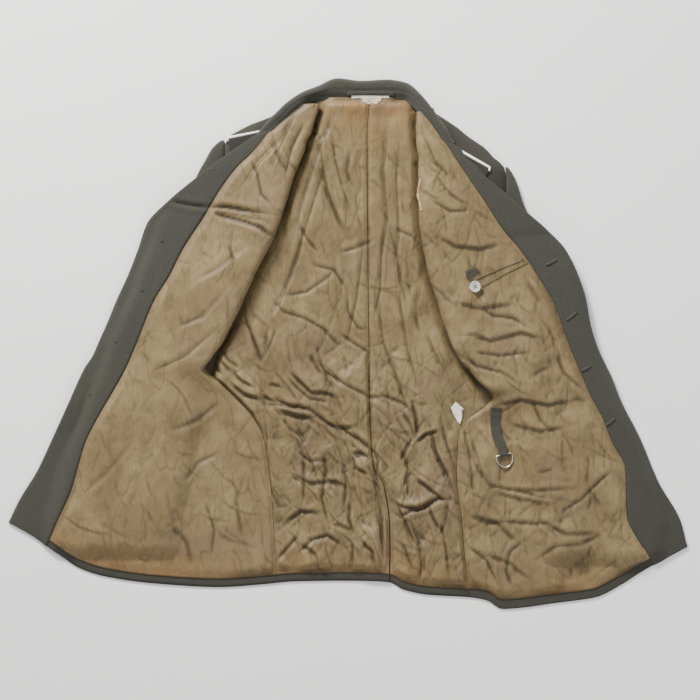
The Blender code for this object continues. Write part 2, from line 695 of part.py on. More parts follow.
def height_over(support, x, y):
    """The top of a made piece at a place, read from its finished mesh."""
    hit = support.ray_cast(Vector((x * MM, y * MM, 0.2)), Vector((0, 0, -1)))
    return hit[0].z / MM if hit[0] else None


def height_under(support, x, y):
    """The underside of a made piece at a place, or its own flap's where a ray meets the roll."""
    hit = support.ray_cast(Vector((x * MM, y * MM, 0.2)), Vector((0, 0, -1)))
    if not hit[0]:
        return 1000.0
    below = support.ray_cast(hit[0] - Vector((0, 0, 0.00001)), Vector((0, 0, -1)))
    return below[0].z / MM


def tree_of(piece):
    bpy.context.view_layer.update()
    depsgraph = bpy.context.evaluated_depsgraph_get()
    return BVHTree.FromObject(piece, depsgraph)


def strip_on(name, support, centre_line, width, wall, cells, finish, lift=LAY):
    """A flat strip along a line of points, laid on a made piece."""

    def place(s, t):
        at = s * (len(centre_line) - 1)
        i = min(int(at), len(centre_line) - 2)
        a = Vector(centre_line[i])
        b = Vector(centre_line[i + 1])
        middle = a.lerp(b, at - i)
        across = Vector((-(b - a).y, (b - a).x)).normalized()
        spot = middle + across * width * (0.5 - t)
        z = height_over(support, spot.x, spot.y)
        return Vector((spot.x, spot.y, z + lift)), UP

    return sheet(name, cells, 2, place, 0, wall, finish)


def plate_on(name, supports, corners, wall, finish, lift=LAY):
    """A small flat piece with straight edges, laid level above the made pieces below it."""
    middle = tuple(sum(c) / len(corners) for c in zip(*corners))
    heights = [height_over(support, x, y) for support in supports for x, y in corners + [middle]]
    highest = max(height for height in heights if height is not None)
    return flat_plate(name, corners, highest + lift, wall, finish)


def flat_plate(name, corners, low, wall, finish):
    curve = bpy.data.curves.new(name + "_outline", "CURVE")
    curve.dimensions = "2D"
    curve.fill_mode = "BOTH"
    curve.extrude = wall / 2 * MM
    line = curve.splines.new("POLY")
    line.points.add(len(corners) - 1)
    for point, (x, y) in zip(line.points, corners):
        point.co = (x * MM, y * MM, 0, 1)
    line.use_cyclic_u = True
    drawn = bpy.data.objects.new(name + "_outline", curve)
    drawn.location.z = (low + wall / 2) * MM
    parts.objects.link(drawn)
    return mesh_of_curve(name, drawn, finish)


def mesh_of_curve(name, drawn, finish):
    """A curve object made a welded mesh, in its place."""
    bpy.context.view_layer.update()
    depsgraph = bpy.context.evaluated_depsgraph_get()
    mesh = bpy.data.meshes.new_from_object(drawn.evaluated_get(depsgraph))
    mesh.name = name
    matrix = drawn.matrix_world.copy()
    curve = drawn.data
    bpy.data.objects.remove(drawn)
    bpy.data.curves.remove(curve)
    bm = bmesh.new()
    bm.from_mesh(mesh)
    bmesh.ops.remove_doubles(bm, verts=bm.verts, dist=0.00005)
    bmesh.ops.recalc_face_normals(bm, faces=bm.faces)
    bm.to_mesh(mesh)
    bm.free()
    mesh.materials.clear()
    made = new_object(name, mesh, finish)
    made.matrix_world = matrix
    return made


def tube(name, points, diameter, finish, cyclic=False, resolution=2):
    curve = bpy.data.curves.new(name + "_line", "CURVE")
    curve.dimensions = "3D"
    curve.bevel_depth = diameter / 2 * MM
    curve.bevel_resolution = resolution
    curve.use_fill_caps = True
    line = curve.splines.new("POLY")
    line.points.add(len(points) - 1)
    for point, place in zip(line.points, points):
        point.co = (place[0] * MM, place[1] * MM, place[2] * MM, 1)
    line.use_cyclic_u = cyclic
    drawn = bpy.data.objects.new(name + "_line", curve)
    parts.objects.link(drawn)
    return mesh_of_curve(name, drawn, finish)


def make_board(side, armhole_end, direction, finish, piping_finish):
    """A stiff shoulder board on the strip of front that lies wool side up, with white piping."""
    along = Vector(direction).normalized()
    across = Vector((along.y, -along.x)) * -side * 1.0
    if across.y > 0:
        across = -across
    base = Vector(armhole_end) + across * (PIPING + 0.4)
    low = SHOULDER_TOP + LAY
    neck = base + along * (BOARD_LENGTH - 10)
    corners = [
        base,
        neck,
        neck + along * 10 + across * BOARD_NARROW * 0.3,
        neck + along * 10 + across * BOARD_NARROW * 0.7,
        neck + across * BOARD_NARROW,
        base + across * BOARD_WIDE,
    ]
    flat_plate(side_name("shoulder_board", side), [tuple(c) for c in corners], low, BOARD_THICK, finish)
    rod = Vector(armhole_end) + across * (PIPING / 2) + along * 1.0
    line = [rod + along * (BOARD_LENGTH - 12) * k / 6 for k in range(7)]
    height = low + PIPING / 2
    places = [(p.x, p.y, height) for p in line]
    tube(side_name("board_piping", side), places, PIPING, piping_finish, resolution=1)


def make_button(name, x, y, radius, thick, low, finish, dome):
    """A turned button: a profile swept round its own axis."""
    mesh = bpy.data.meshes.new(name)
    if dome:
        profile = [(0, 0), (0.45, 0.05), (0.8, 0.22), (1, 0.5), (0.94, 0.72), (0.6, 1), (0, 1)]
    else:
        profile = [(0, 0), (0.85, 0), (1, 0.3), (1, 0.75), (0.88, 1), (0.7, 0.8), (0, 0.8)]
    profile.reverse()
    bm = bmesh.new()
    verts = [bm.verts.new((r * radius * MM, 0, h * thick * MM)) for r, h in profile]
    for a, b in zip(verts, verts[1:]):
        bm.edges.new((a, b))
    bm.to_mesh(mesh)
    bm.free()
    made = new_object(name, mesh, finish)
    made.location = (x * MM, y * MM, low * MM)
    turn = made.modifiers.new("turn", "SCREW")
    turn.steps = 14
    turn.render_steps = 14
    turn.use_merge_vertices = True
    turn.merge_threshold = 0.00005
    return made


def make_front_buttons(front, finish):
    """Domed buttons against the underside of the right front, dome to the table."""
    reach = (-BUTTON_RADIUS * 0.6, 0, BUTTON_RADIUS * 0.6)
    for k, (x, y) in enumerate(BUTTONS_RIGHT):
        under = min(height_under(front, x + a, y + b) for a in reach for b in reach)
        low = max(under - SEAM - BUTTON_THICK, 0.0)
        make_button("front_button_" + str(k + 1), x, y, BUTTON_RADIUS, BUTTON_THICK, low, finish, True)


def make_pocket_button(support, finish):
    x, y = POCKET_BUTTON
    reach = POCKET_BUTTON_RADIUS
    around = [(x + reach * math.cos(a), y + reach * math.sin(a)) for a in (0, 1.57, 3.14, 4.71)]
    low = max(height_over(support, *spot) for spot in around + [(x, y)]) + LAY
    button = make_button("pocket_button", x, y, POCKET_BUTTON_RADIUS, POCKET_BUTTON_THICK, low, finish, False)
    for k in range(4):
        angle = math.pi / 4 + k * math.pi / 2
        bpy.ops.mesh.primitive_cylinder_add(
            vertices=8,
            radius=0.9 * MM,
            depth=4 * POCKET_BUTTON_THICK * MM,
            location=((x + 2.2 * math.cos(angle)) * MM, (y + 2.2 * math.sin(angle)) * MM, low * MM),
        )
        hole = bpy.context.object
        hole.name = "pocket_button_hole_" + str(k + 1)
        for holder in hole.users_collection:
            holder.objects.unlink(hole)
        cutters.objects.link(hole)
        hole.hide_render = True
        hole.display_type = "WIRE"
        cut = button.modifiers.new(hole.name, "BOOLEAN")
        cut.operation = "DIFFERENCE"
        cut.object = hole


def ring_frame():
    """The bar's own axes: along the bar, and away from the strap."""
    tilt = math.radians(RING_TILT)
    along = Vector((math.cos(tilt), math.sin(tilt)))
    away = Vector((math.sin(tilt), -math.cos(tilt)))
    return along, away


def make_strap_and_ring(support, strap_finish, ring_finish):
    along, away = ring_frame()
    centre = Vector(RING_CENTRE)
    reach = [centre + along * a + away * b for a in (-15, 0, 15) for b in (-6, 0, 10, RING_DEPTH + 2)]
    floor = max(height_over(support, spot.x, spot.y) for spot in reach)
    eye = RING_WIRE / 2 + 0.35
    bar_height = floor + LAY + STRAP_THICK + eye
    half = RING_BAR / 2
    corner = 3.0
    outline = []
    for a, b in ((-1, 1), (1, 1)):
        outline.append(centre + along * a * (half - corner))
    for k in range(1, 4):
        angle = math.pi / 2 * (1 - k / 3)
        outline.append(centre + along * (half - corner + corner * math.cos(angle)) + away * corner * (1 - math.sin(angle)))
    for k in range(1, 12):
        angle = math.pi * k / 12
        outline.append(
            centre + along * half * math.cos(angle) + away * (corner + (RING_DEPTH - corner) * math.sin(angle))
        )
    for k in range(3):
        angle = math.pi / 2 * k / 3
        outline.append(centre - along * (half - corner + corner * math.cos(angle)) + away * corner * (1 - math.sin(angle)))
    tube("d_ring", [(p.x, p.y, bar_height) for p in outline], RING_WIRE, ring_finish, cyclic=True)

    line = [Vector(p) for p in STRAP_LINE]
    toward = away
    path = []
    for k in range(STRAP_CELLS + 1):
        at = k / STRAP_CELLS * (len(line) - 1)
        i = min(int(at), len(line) - 2)
        spot = line[i].lerp(line[i + 1], at - i)
        below = max(height_over(support, spot.x + a, spot.y) for a in (-9, 0, 9))
        resting = below + LAY + 0.5 + STRAP_THICK / 2
        above_tail = floor + LAY + 1.7 * STRAP_THICK + 0.8
        near_ring = ease((k / STRAP_CELLS - 0.6) / 0.3)
        path.append((spot, max(resting, above_tail * near_ring)))
    wrap = eye + STRAP_THICK / 2
    for k in range(8):
        angle = math.radians(118 - 208 * k / 7)
        spot = centre + toward * wrap * math.cos(angle)
        path.append((spot, bar_height + wrap * math.sin(angle)))
    for back in (4.0, 8.0):
        path.append((centre - toward * back, bar_height - wrap))

    def place(s, t):
        i = round(s * (len(path) - 1))
        spot, z = path[i]
        heading = toward
        if i < STRAP_CELLS:
            heading = (path[i + 1][0] - path[max(i - 1, 0)][0]).normalized()
        across = Vector((-heading.y, heading.x)) * STRAP_WIDTH * (t - 0.5)
        before = path[max(i - 1, 0)]
        after = path[min(i + 1, len(path) - 1)]
        forward = (after[0] - before[0]).dot(heading)
        rise = after[1] - before[1]
        direction = Vector((-heading.x * rise, -heading.y * rise, forward)).normalized()
        return Vector((spot.x + across.x, spot.y + across.y, z)), direction

    half_wall = STRAP_THICK / 2
    return sheet("hanger_strap", len(path) - 1, 1, place, -half_wall, half_wall, strap_finish)


def build():
    wool = material("field_grey_wool", WOOL_COLOUR, 0.95)
    satin = material("bronze_satin", SATIN_COLOUR, 0.45)
    white = material("white_cloth", WHITE_COLOUR, 0.85)
    board = material("dark_board_cloth", BOARD_COLOUR, 0.9)
    steel = material("worn_steel", STEEL_COLOUR, 0.35, 1.0)
    horn = material("grey_button", HORN_COLOUR, 0.4)
    linings = {}
    for side in (right, left):
        make_back(side, wool)
        linings["back", side] = make_back_lining(side, satin)
        front = tree_of(make_front(side, wool))
        linings["front", side] = make_front_lining(side, satin)
        make_facing(side, wool)
        make_lapel(side, front, wool)
        make_sleeve(side, wool)
        if side == right:
            make_front_buttons(front, steel)
    collar = make_collar(wool)
    make_board(right, (-189, 323), (47, 9), board, white)
    make_board(left, (223, 276), (-44, 25), board, white)
    chest = tree_of(linings["front", left])
    backs = [tree_of(linings["back", side]) for side in (right, left)]
    strip_on("pocket_welt", chest, WELT_ENDS, WELT_WIDTH, 1.6, 8, satin)
    plate_on("pocket_tab", [chest], TAB_CORNERS, 1.0, wool)
    make_pocket_button(chest, horn)
    make_strap_and_ring(chest, wool, steel)
    plate_on("size_tag", backs[1:], TAG_CORNERS, 0.8, white)
    plate_on("neck_label", backs, LABEL_CORNERS, 0.8, white)
    strip_on("hanger_tab", tree_of(collar), TAB_SPAN, 7.0, 1.4, 8, wool)


for stale in list(bpy.data.objects):
    bpy.data.objects.remove(stale)
parts = bpy.data.collections.new(NAME)
cutters = bpy.data.collections.new(NAME + "_cutters")
bpy.context.scene.collection.children.link(parts)
bpy.context.scene.collection.children.link(cutters)
build()
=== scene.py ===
# %% [markdown]
# # A lined wool tunic, laid open on its back
# The tunic lies on a table with its lining up. Each front leaves the armhole wool side up, rolls
# over at the chest and comes back outward with its satin on top. Every sheet of cloth here is a
# grid of points that is bent by a few named sizes, so one lesson serves for the whole garment.

# %% Tools
from collections import namedtuple
import math

import bpy
import bmesh
import numpy as np
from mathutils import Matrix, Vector
from mathutils.bvhtree import BVHTree


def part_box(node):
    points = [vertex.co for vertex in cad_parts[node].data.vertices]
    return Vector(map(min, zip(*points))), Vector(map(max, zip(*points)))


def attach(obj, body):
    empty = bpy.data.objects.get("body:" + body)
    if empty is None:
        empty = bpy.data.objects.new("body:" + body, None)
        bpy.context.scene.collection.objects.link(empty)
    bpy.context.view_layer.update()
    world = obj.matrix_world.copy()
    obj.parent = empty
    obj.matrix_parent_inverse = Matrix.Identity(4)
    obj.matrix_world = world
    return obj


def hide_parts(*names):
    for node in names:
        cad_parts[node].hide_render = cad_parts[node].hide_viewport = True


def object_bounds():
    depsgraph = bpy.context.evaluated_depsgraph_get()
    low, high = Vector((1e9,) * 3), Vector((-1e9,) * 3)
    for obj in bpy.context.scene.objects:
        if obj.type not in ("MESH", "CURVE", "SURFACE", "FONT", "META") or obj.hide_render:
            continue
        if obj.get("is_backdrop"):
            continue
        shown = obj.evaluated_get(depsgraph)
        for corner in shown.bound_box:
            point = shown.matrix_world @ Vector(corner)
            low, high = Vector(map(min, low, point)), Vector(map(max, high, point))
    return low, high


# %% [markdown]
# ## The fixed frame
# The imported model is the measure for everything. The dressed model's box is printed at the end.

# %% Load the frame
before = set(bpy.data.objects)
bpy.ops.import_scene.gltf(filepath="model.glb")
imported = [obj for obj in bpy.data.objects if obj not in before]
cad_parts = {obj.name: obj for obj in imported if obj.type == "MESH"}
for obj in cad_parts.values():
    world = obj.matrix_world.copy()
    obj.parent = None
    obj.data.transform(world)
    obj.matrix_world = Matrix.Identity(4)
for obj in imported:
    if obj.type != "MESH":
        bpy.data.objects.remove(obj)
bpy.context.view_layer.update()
MM = 0.001
right, left = -1, 1
SIDES = {right: "right", left: "left"}

# %% [markdown]
# ## Camera
# The picture was taken from straight above. A long lens far away keeps the scale the same over
# the whole garment, which is what a picture from high above a table shows.

# %% Camera
VIEW_HEIGHT = 5.0
VIEW_WIDTH = 1.092
camera_data = bpy.data.cameras.new("camera")
camera_data.sensor_width = 36.0
camera_data.lens = 36.0 * VIEW_HEIGHT / VIEW_WIDTH
camera = bpy.data.objects.new("camera", camera_data)
camera.location = (0.0031, -0.0094, VIEW_HEIGHT + 0.01)
bpy.context.scene.collection.objects.link(camera)
bpy.context.scene.camera = camera

# %% [markdown]
# ## Table and light
# A pale table and one large soft lamp from the upper left give the creases a light side and a
# dark side. A pale sky fills the shadows, so that the hollows stay readable.

# %% Table and light
FLOOR_DROP = 0.0004


def soft_lamp(name, place, target, size, power, colour):
    lamp_data = bpy.data.lights.new(name, "AREA")
    lamp_data.size = size
    lamp_data.energy = power
    lamp_data.color = colour
    lamp = bpy.data.objects.new(name, lamp_data)
    lamp.location = place
    lamp.rotation_mode = "QUATERNION"
    lamp.rotation_quaternion = (Vector(target) - Vector(place)).to_track_quat("-Z", "Y")
    bpy.context.scene.collection.objects.link(lamp)


soft_lamp("key", (-1.0, 2.2, 1.45), (0, 0, 0), 0.8, 180.0, (1.0, 0.99, 0.97))
soft_lamp("fill", (1.8, -1.0, 2.4), (0, 0, 0), 2.0, 32.0, (0.97, 0.985, 1.0))
sky = bpy.data.worlds.new("sky")
sky.use_nodes = True
sky_light = sky.node_tree.nodes["Background"]
sky_light.inputs["Color"].default_value = (1.0, 1.0, 1.0, 1)
sky_light.inputs["Strength"].default_value = 0.68
bpy.context.scene.world = sky

floor_mesh = bpy.data.meshes.new("table_top")
bm = bmesh.new()
bmesh.ops.create_grid(bm, x_segments=1, y_segments=1, size=4.0)
bmesh.ops.translate(bm, verts=bm.verts, vec=(0, 0, -FLOOR_DROP))
bm.to_mesh(floor_mesh)
bm.free()
floor = bpy.data.objects.new("table_top", floor_mesh)
bpy.context.scene.collection.objects.link(floor)
floor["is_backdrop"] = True
table_finish = bpy.data.materials.new("table_finish")
table_finish.use_nodes = True
table_shader = table_finish.node_tree.nodes["Principled BSDF"]
table_shader.inputs["Base Color"].default_value = (0.9, 0.9, 0.9, 1)
table_shader.inputs["Roughness"].default_value = 0.9
floor_mesh.materials.append(table_finish)

# %% [markdown]
# ## Sizes of the garment
# Millimetres, a row for each section. The wearer's right lies at -X and the neck at +Y. These
# are the same sections as the solid model's, so each cloth lies where its solid is.

# %% Sizes
WOOL = 2.0
SATIN = 0.8
FACING = 1.8
SEAM = 0.3
ROLL_FROM = 2 / 14
ROLL_TO = 6 / 14
FACING_FROM = 13 / 14
FLAT_STRETCH = 12.0
CREST_WIDTH = 52.0
ROWS_END = -130.0
HEM_GUESS = -370.0


def rows_of(kind, rows):
    return [kind(*row) for row in rows]


Front = namedtuple("Front", "y start height heading under roll edge edge_height middle")
FRONT_RIGHT = rows_of(Front, [
    (374, 70, 7.4, 180, 18, 5, 70, 17, 17),
    (360, 108, 6.6, 180, 52, 6, 88, 18, 18),
    (350, 132, 6.2, 180, 72, 6.5, 99, 18.5, 18.5),
    (340, 158, 5.7, 180, 94, 7.5, 111, 19, 19),
    (332, 172, 5.6, 180, 106, 7.8, 121, 20, 19.5),
    (326, 183, 5.6, 180, 114, 8, 142, 21, 20),
    (310, 192, 5.6, 180, 115, 8.5, 167, 21, 20.5),
    (287, 192, 5.6, 180, 106, 9, 200, 21, 20),
    (261, 190, 5.6, 180, 93, 9.5, 234, 20, 19),
    (225, 190, 5.6, 180, 82, 10, 278, 17, 18),
    (189, 189, 5.6, 180, 68, 10.5, 313, 10, 16),
    (147, 187, 5.6, 180, 48, 11, 328, 7.4, 14),
    (106, 187, 5.6, 180, 26, 11, 344, 7.4, 12),
    (69, 190, 4.6, 172, 14, 11, 361, 7.4, 10),
    (37, 200, 3.2, 164, 11, 10, 374, 7.4, 8),
    (6, 211, 2.8, 158, 9, 8, 388, 7.4, 7),
    (-19, 222, 2.6, 138, 7, 6, 399, 7.4, 6),
    (-37, 224, 2.2, 84, 5, 5, 411, 7.8, 5),
    (-62, 197, 2, 26, 4, 5, 423, 8.4, 3),
    (-87, 172, 2, 0, 4, 5, 434, 8.6, 2),
    (-111, 150, 2, 0, 4, 5, 445, 7, 2),
    (-150, 131, 2, 0, 4, 5, 463, 3, 2),
    (-197, 124, 2, 0, 4, 5, 485, 2, 2),
    (-243, 119, 2, 0, 4, 5, 513, 2, 2),
    (-278, 117, 2, 0, 4, 5, 530, 2, 2),
    (-380, 111, 2, 0, 4, 5, 581, 2, 2),
])
FRONT_LEFT = rows_of(Front, [
    (362, 134, 6.8, 180, 21, 5, 115, 17, 17),
    (349, 154, 6.2, 180, 40, 6, 126, 18, 18),
    (337, 172, 5.7, 180, 57, 7, 135, 19, 19),
    (325, 186, 5.6, 180, 69, 7.5, 143, 20, 19.5),
    (316, 199, 5.6, 180, 82, 7.8, 149, 20.5, 20),
    (309, 210, 5.6, 180, 92, 8, 169, 21, 20),
    (303, 217, 5.6, 180, 98, 8, 176, 21, 20),
    (290, 228, 5.6, 180, 107, 8.5, 184, 21, 20),
    (278, 243, 5.6, 180, 122, 9, 198, 21, 20),
    (259, 246, 5.6, 180, 124, 9, 216, 21, 20),
    (237, 246, 5.6, 180, 123, 9.5, 243, 20.5, 20),
    (211, 246, 5.6, 180, 122, 10, 272, 19.5, 19),
    (181, 245, 5.6, 180, 119, 10.5, 307, 17, 18),
    (147, 242, 5.6, 180, 111, 11, 339, 8, 16),
    (106, 237, 5.6, 180, 97, 11, 359, 2, 15),
    (69, 231, 5.6, 180, 79, 11, 371, 2, 14),
    (30, 222, 5, 178, 58, 11, 378, 2, 12),
    (-8, 217, 4, 174, 39, 11, 390, 2, 10),
    (-33, 218, 3.2, 168, 27, 10, 402, 2, 8),
    (-56, 225, 2.8, 158, 18, 8, 413, 2, 6),
    (-83, 226, 2.2, 84, 6, 5, 423, 2, 3),
    (-106, 204, 2, 26, 4, 5, 434, 2, 2),
    (-126, 178, 2, 0, 4, 5, 445, 2, 2),
    (-150, 172, 2, 0, 4, 5, 457, 2, 2),
    (-212, 170, 2, 0, 4, 5, 483, 2, 2),
    (-275, 178, 2, 0, 4, 5, 519, 2, 2),
    (-317, 181, 2, 0, 4, 5, 530.5, 2, 2),
    (-390, 190, 2, 0, 4, 5, 564, 2, 2),
])
Border = namedtuple("Border", "y out")
BORDER_RIGHT = rows_of(Border, [
    (374, 66), (349, 98), (331, 122), (312, 137), (293, 154), (275, 173), (237, 201),
    (200, 223), (144, 259), (106, 278), (69, 301), (-6, 332), (-44, 349), (-81, 370),
    (-119, 392), (-156, 410), (-193, 421), (-231, 432), (-268, 449), (-306, 465), (-380, 500),
])
BORDER_LEFT = rows_of(Border, [
    (362, 112), (349, 124), (331, 138), (312, 152), (293, 164), (256, 189), (218, 215),
    (181, 239), (144, 270), (106, 295), (69, 318), (-6, 346), (-44, 362), (-81, 378),
    (-119, 398), (-156, 413), (-193, 432), (-268, 435), (-306, 452), (-324, 465), (-390, 500),
])
Hem = namedtuple("Hem", "x y")
HEM = rows_of(Hem, [
    (-530, -279), (-493, -300), (-456, -326), (-418, -351), (-381, -363), (-306, -374),
    (-200, -380), (-137, -376), (-81, -371), (-6, -370), (48, -371), (66, -373),
    (87, -384), (125, -392), (190, -396), (218, -401), (240, -414.2), (331, -404),
    (387, -396), (424, -378), (462, -354), (499, -334), (530, -317),
])
Sleeve = namedtuple("Sleeve", "y inner outer height")
SLEEVE_RIGHT = rows_of(Sleeve, [
    (318, 193.2, 199, 6), (306, 193.2, 212, 9), (287, 193.2, 223, 10),
    (261, 192.2, 237, 11), (232, 191.4, 247, 11), (201, 191, 260, 12),
    (161, 190, 270, 12), (115, 196, 288, 13), (80, 209, 300, 13),
    (30, 238, 322, 13), (-25, 264, 344, 12), (-87, 272, 366, 12),
    (-150, 282, 388, 11), (-212, 294, 410, 11), (-275, 310, 428, 10),
])
SLEEVE_LEFT = rows_of(Sleeve, [
    (276, 245.4, 250, 6), (268, 247, 256, 8), (256, 247.2, 262, 10),
    (242, 247.2, 267, 11), (225, 247.2, 272, 11), (206, 247.2, 280, 11),
    (170, 246.2, 300, 12), (120, 243, 322, 13), (75, 241, 332, 13),
    (30, 246, 342, 13), (-33, 266, 360, 12), (-90, 290, 384, 12),
    (-150, 314, 408, 11), (-212, 332, 430, 11), (-285, 348, 448, 10),
])
SLEEVE_MARGIN = 22.0
CUFF_MARGIN = 34.0
SLEEVE_FALL = 38.0
Collar = namedtuple("Collar", "at seam_x seam_y roll_x roll_y seam_height top fall_height fall")
COLLAR = rows_of(Collar, [
    (0, -124.5, 332, -142, 335, 20.5, 23.5, 12.6, 24), (1, -101, 350, -116, 357, 19, 23, 12.6, 20),
    (2, -82, 368, -95, 377, 18, 21.5, 12, 12), (3, -64, 380, -71, 393, 13, 18, 7, 7),
    (4, -44, 386, -47, 403, 7, 14, 0, 11), (5, -15, 386, -16, 415, 5.4, 13, 0, 32),
    (6, 22, 386, 22, 411, 5.4, 12, 0, 34), (7, 58, 386, 60, 413, 5.4, 12, 0, 32),
    (8, 86, 386, 91, 408, 7, 13, 0, 12), (9, 104, 376, 114, 389, 13, 18, 7, 7),
    (10, 118, 361, 130, 369, 18, 21.5, 12, 12), (11, 139, 335, 152, 338, 20, 23.5, 12.6, 18),
    (12, 151.5, 317, 164, 321, 21, 24, 12.6, 22),
])
Centre = namedtuple("Centre", "y x lap")
CENTRE = rows_of(Centre, [
    (386, 34, 0), (321, 30, 0), (0, 33, 0), (-160, 36, 0), (-195, 41, 0),
    (-222, 47, 9), (-292, 52, 13), (-400, 50, 14),
])
NECK_CORNERS = {right: 44, left: 86}
NECK_Y = 385.0
COLLAR_BED = 3.4
VENT_TOP_Y = -118.0
FRONTS = {right: FRONT_RIGHT, left: FRONT_LEFT}
BORDERS = {right: BORDER_RIGHT, left: BORDER_LEFT}
SLEEVES = {right: SLEEVE_RIGHT, left: SLEEVE_LEFT}

# %% [markdown]
# ## Reading a table smoothly
# A table gives a size at a few heights. Between two rows the size follows a smooth curve that
# never swings past either row, because a garment's outline must not wave where the cloth is
# straight. Whole arrays are read at once, which is quick enough for fine cloth.


# %% Smooth tables
def ease(t):
    t = np.clip(t, 0.0, 1.0)
    return t * t * (3 - 2 * t)


def along(table, column, at):
    keys = np.array([row[0] for row in table], float)
    values = np.array([getattr(row, column) for row in table], float)
    if keys[-1] < keys[0]:
        keys = keys[::-1]
        values = values[::-1]
    at = np.clip(at, keys[0], keys[-1])
    steps = np.diff(values) / np.diff(keys)
    product = steps[:-1] * steps[1:]
    total = np.where(product > 0, steps[:-1] + steps[1:], 1.0)
    inner = np.where(product > 0, 2 * product / total, 0.0)
    slopes = np.concatenate([steps[:1], inner, steps[-1:]])
    i = np.clip(np.searchsorted(keys, at, side="right") - 1, 0, len(keys) - 2)
    span = keys[i + 1] - keys[i]
    t = (at - keys[i]) / span
    return (
        values[i] * (1 + 2 * t) * (1 - t) ** 2
        + values[i + 1] * t * t * (3 - 2 * t)
        + span * slopes[i] * t * (1 - t) ** 2
        - span * slopes[i + 1] * t * t * (1 - t)
    )


# %% [markdown]
# ## How a front lies
# Across the garment a front is first an under layer, then a roll like a soft tube, then the flap
# that falls over the bunched sleeve to the front edge. Down the garment the roll opens out to a
# flat side seam.


# %% The fronts' sections
def sleeve_bed(side, out, y):
    table = SLEEVES[side]
    inner = along(table, "inner", y)
    outer = along(table, "outer", y)
    height = along(table, "height", y)
    beyond = np.maximum(np.maximum(inner - SLEEVE_MARGIN - out, out - outer - SLEEVE_MARGIN), 0.0)
    past_end = np.maximum(np.maximum(table[-1].y - CUFF_MARGIN - y, y - table[0].y), 0.0)
    return (height + WOOL + 1.0) * (1 - ease(np.hypot(beyond, past_end) / SLEEVE_FALL))


def flap_height(side, y, crest_out, crest_height, at):
    table = FRONTS[side]
    edge = along(table, "edge", y)
    t = np.clip((at - crest_out) / np.maximum(edge - crest_out, 1.0), 0.0, 1.0)
    crest = np.exp(-(((at - crest_out) / CREST_WIDTH) ** 2))
    middle = along(table, "middle", y)
    rest = middle + (along(table, "edge_height", y) - middle) * t**1.5
    rest = np.maximum(rest, sleeve_bed(side, at, y))
    return rest + (crest_height - rest) * crest


def section(side, y, u):
    table = FRONTS[side]
    turn = np.radians(along(table, "heading", y))
    under = along(table, "under", y)
    roll = along(table, "roll", y)
    share = np.minimum(u / ROLL_FROM, 1.0)
    out = along(table, "start", y) + under * share * np.cos(turn)
    height = along(table, "height", y) + under * share * np.sin(turn)
    length = roll * turn + FLAT_STRETCH * (1 - turn / math.pi)
    share = np.clip((u - ROLL_FROM) / (ROLL_TO - ROLL_FROM), 0.0, 1.0)
    safe = np.maximum(turn, 0.01)
    now = safe * (1 - share)
    radius = length / safe
    curled = turn >= 0.01
    out = out + np.where(curled, radius * (np.sin(safe) - np.sin(now)), length * share)
    height = height + np.where(curled, radius * (np.cos(now) - np.cos(safe)), 0.0)
    edge = along(table, "edge", y)
    border = np.minimum(along(BORDERS[side], "out", y), edge - 2.0)
    to_border = out + (border - out) * (u - ROLL_TO) / (FACING_FROM - ROLL_TO)
    to_edge = border + (edge - border) * (u - FACING_FROM) / (1 - FACING_FROM)
    at = np.where(u <= FACING_FROM, to_border, to_edge)
    on_flap = u > ROLL_TO
    flap = flap_height(side, y, out, height, at)
    return np.where(on_flap, at, out), np.where(on_flap, flap, height)


def hem_at(x):
    return along(HEM, "y", x)


# %% [markdown]
# ## Crumpled cloth
# Old satin that has been folded many times has three sorts of crease: long folds that run down
# from the neck and shoulders, sharp ridges that meet in stars, and a net of small facets. The
# long ones are placed where the garment shows them. The net is a lattice of triangles
# whose corners have random heights, so flat facets meet in sharp ridges and valleys.

# %% Random nets
PX = 1.56
PICTURE_MIDDLE = (348, 344)


def at_px(column, row):
    """The place on the table, in millimetres, of a column and row of the picture."""
    return (column - PICTURE_MIDDLE[0]) * PX, (PICTURE_MIDDLE[1] - row) * PX


def scattered(a, b, salt):
    value = np.sin(a * 127.1 + b * 311.7 + salt * 74.7) * 43758.5453
    return value - np.floor(value)


def hills(x, y, size, salt):
    gx = x / size
    gy = y / size
    cx = np.floor(gx)
    cy = np.floor(gy)
    tx = ease(gx - cx)
    ty = ease(gy - cy)
    low = scattered(cx, cy, salt) * (1 - tx) + scattered(cx + 1, cy, salt) * tx
    high = scattered(cx, cy + 1, salt) * (1 - tx) + scattered(cx + 1, cy + 1, salt) * tx
    return 2 * (low * (1 - ty) + high * ty) - 1


def facets(x, y, across, down, turn, salt):
    """Flat facets joined in sharp ridges and valleys, between minus one and one."""
    gx = (x * math.cos(turn) + y * math.sin(turn)) / across
    gy = (y * math.cos(turn) - x * math.sin(turn)) / down
    cx = np.floor(gx)
    cy = np.floor(gy)
    tx = gx - cx
    ty = gy - cy
    near = scattered(cx, cy, salt)
    beside = scattered(cx + 1, cy, salt)
    above = scattered(cx, cy + 1, salt)
    far = scattered(cx + 1, cy + 1, salt)
    falling = np.where(
        tx + ty < 1,
        near + (beside - near) * tx + (above - near) * ty,
        far + (above - far) * (1 - tx) + (beside - far) * (1 - ty),
    )
    rising = np.where(
        tx > ty,
        near + (beside - near) * tx + (far - beside) * ty,
        near + (above - near) * ty + (far - above) * tx,
    )
    return 2 * np.where(scattered(cx, cy, salt + 3) > 0.5, rising, falling) - 1


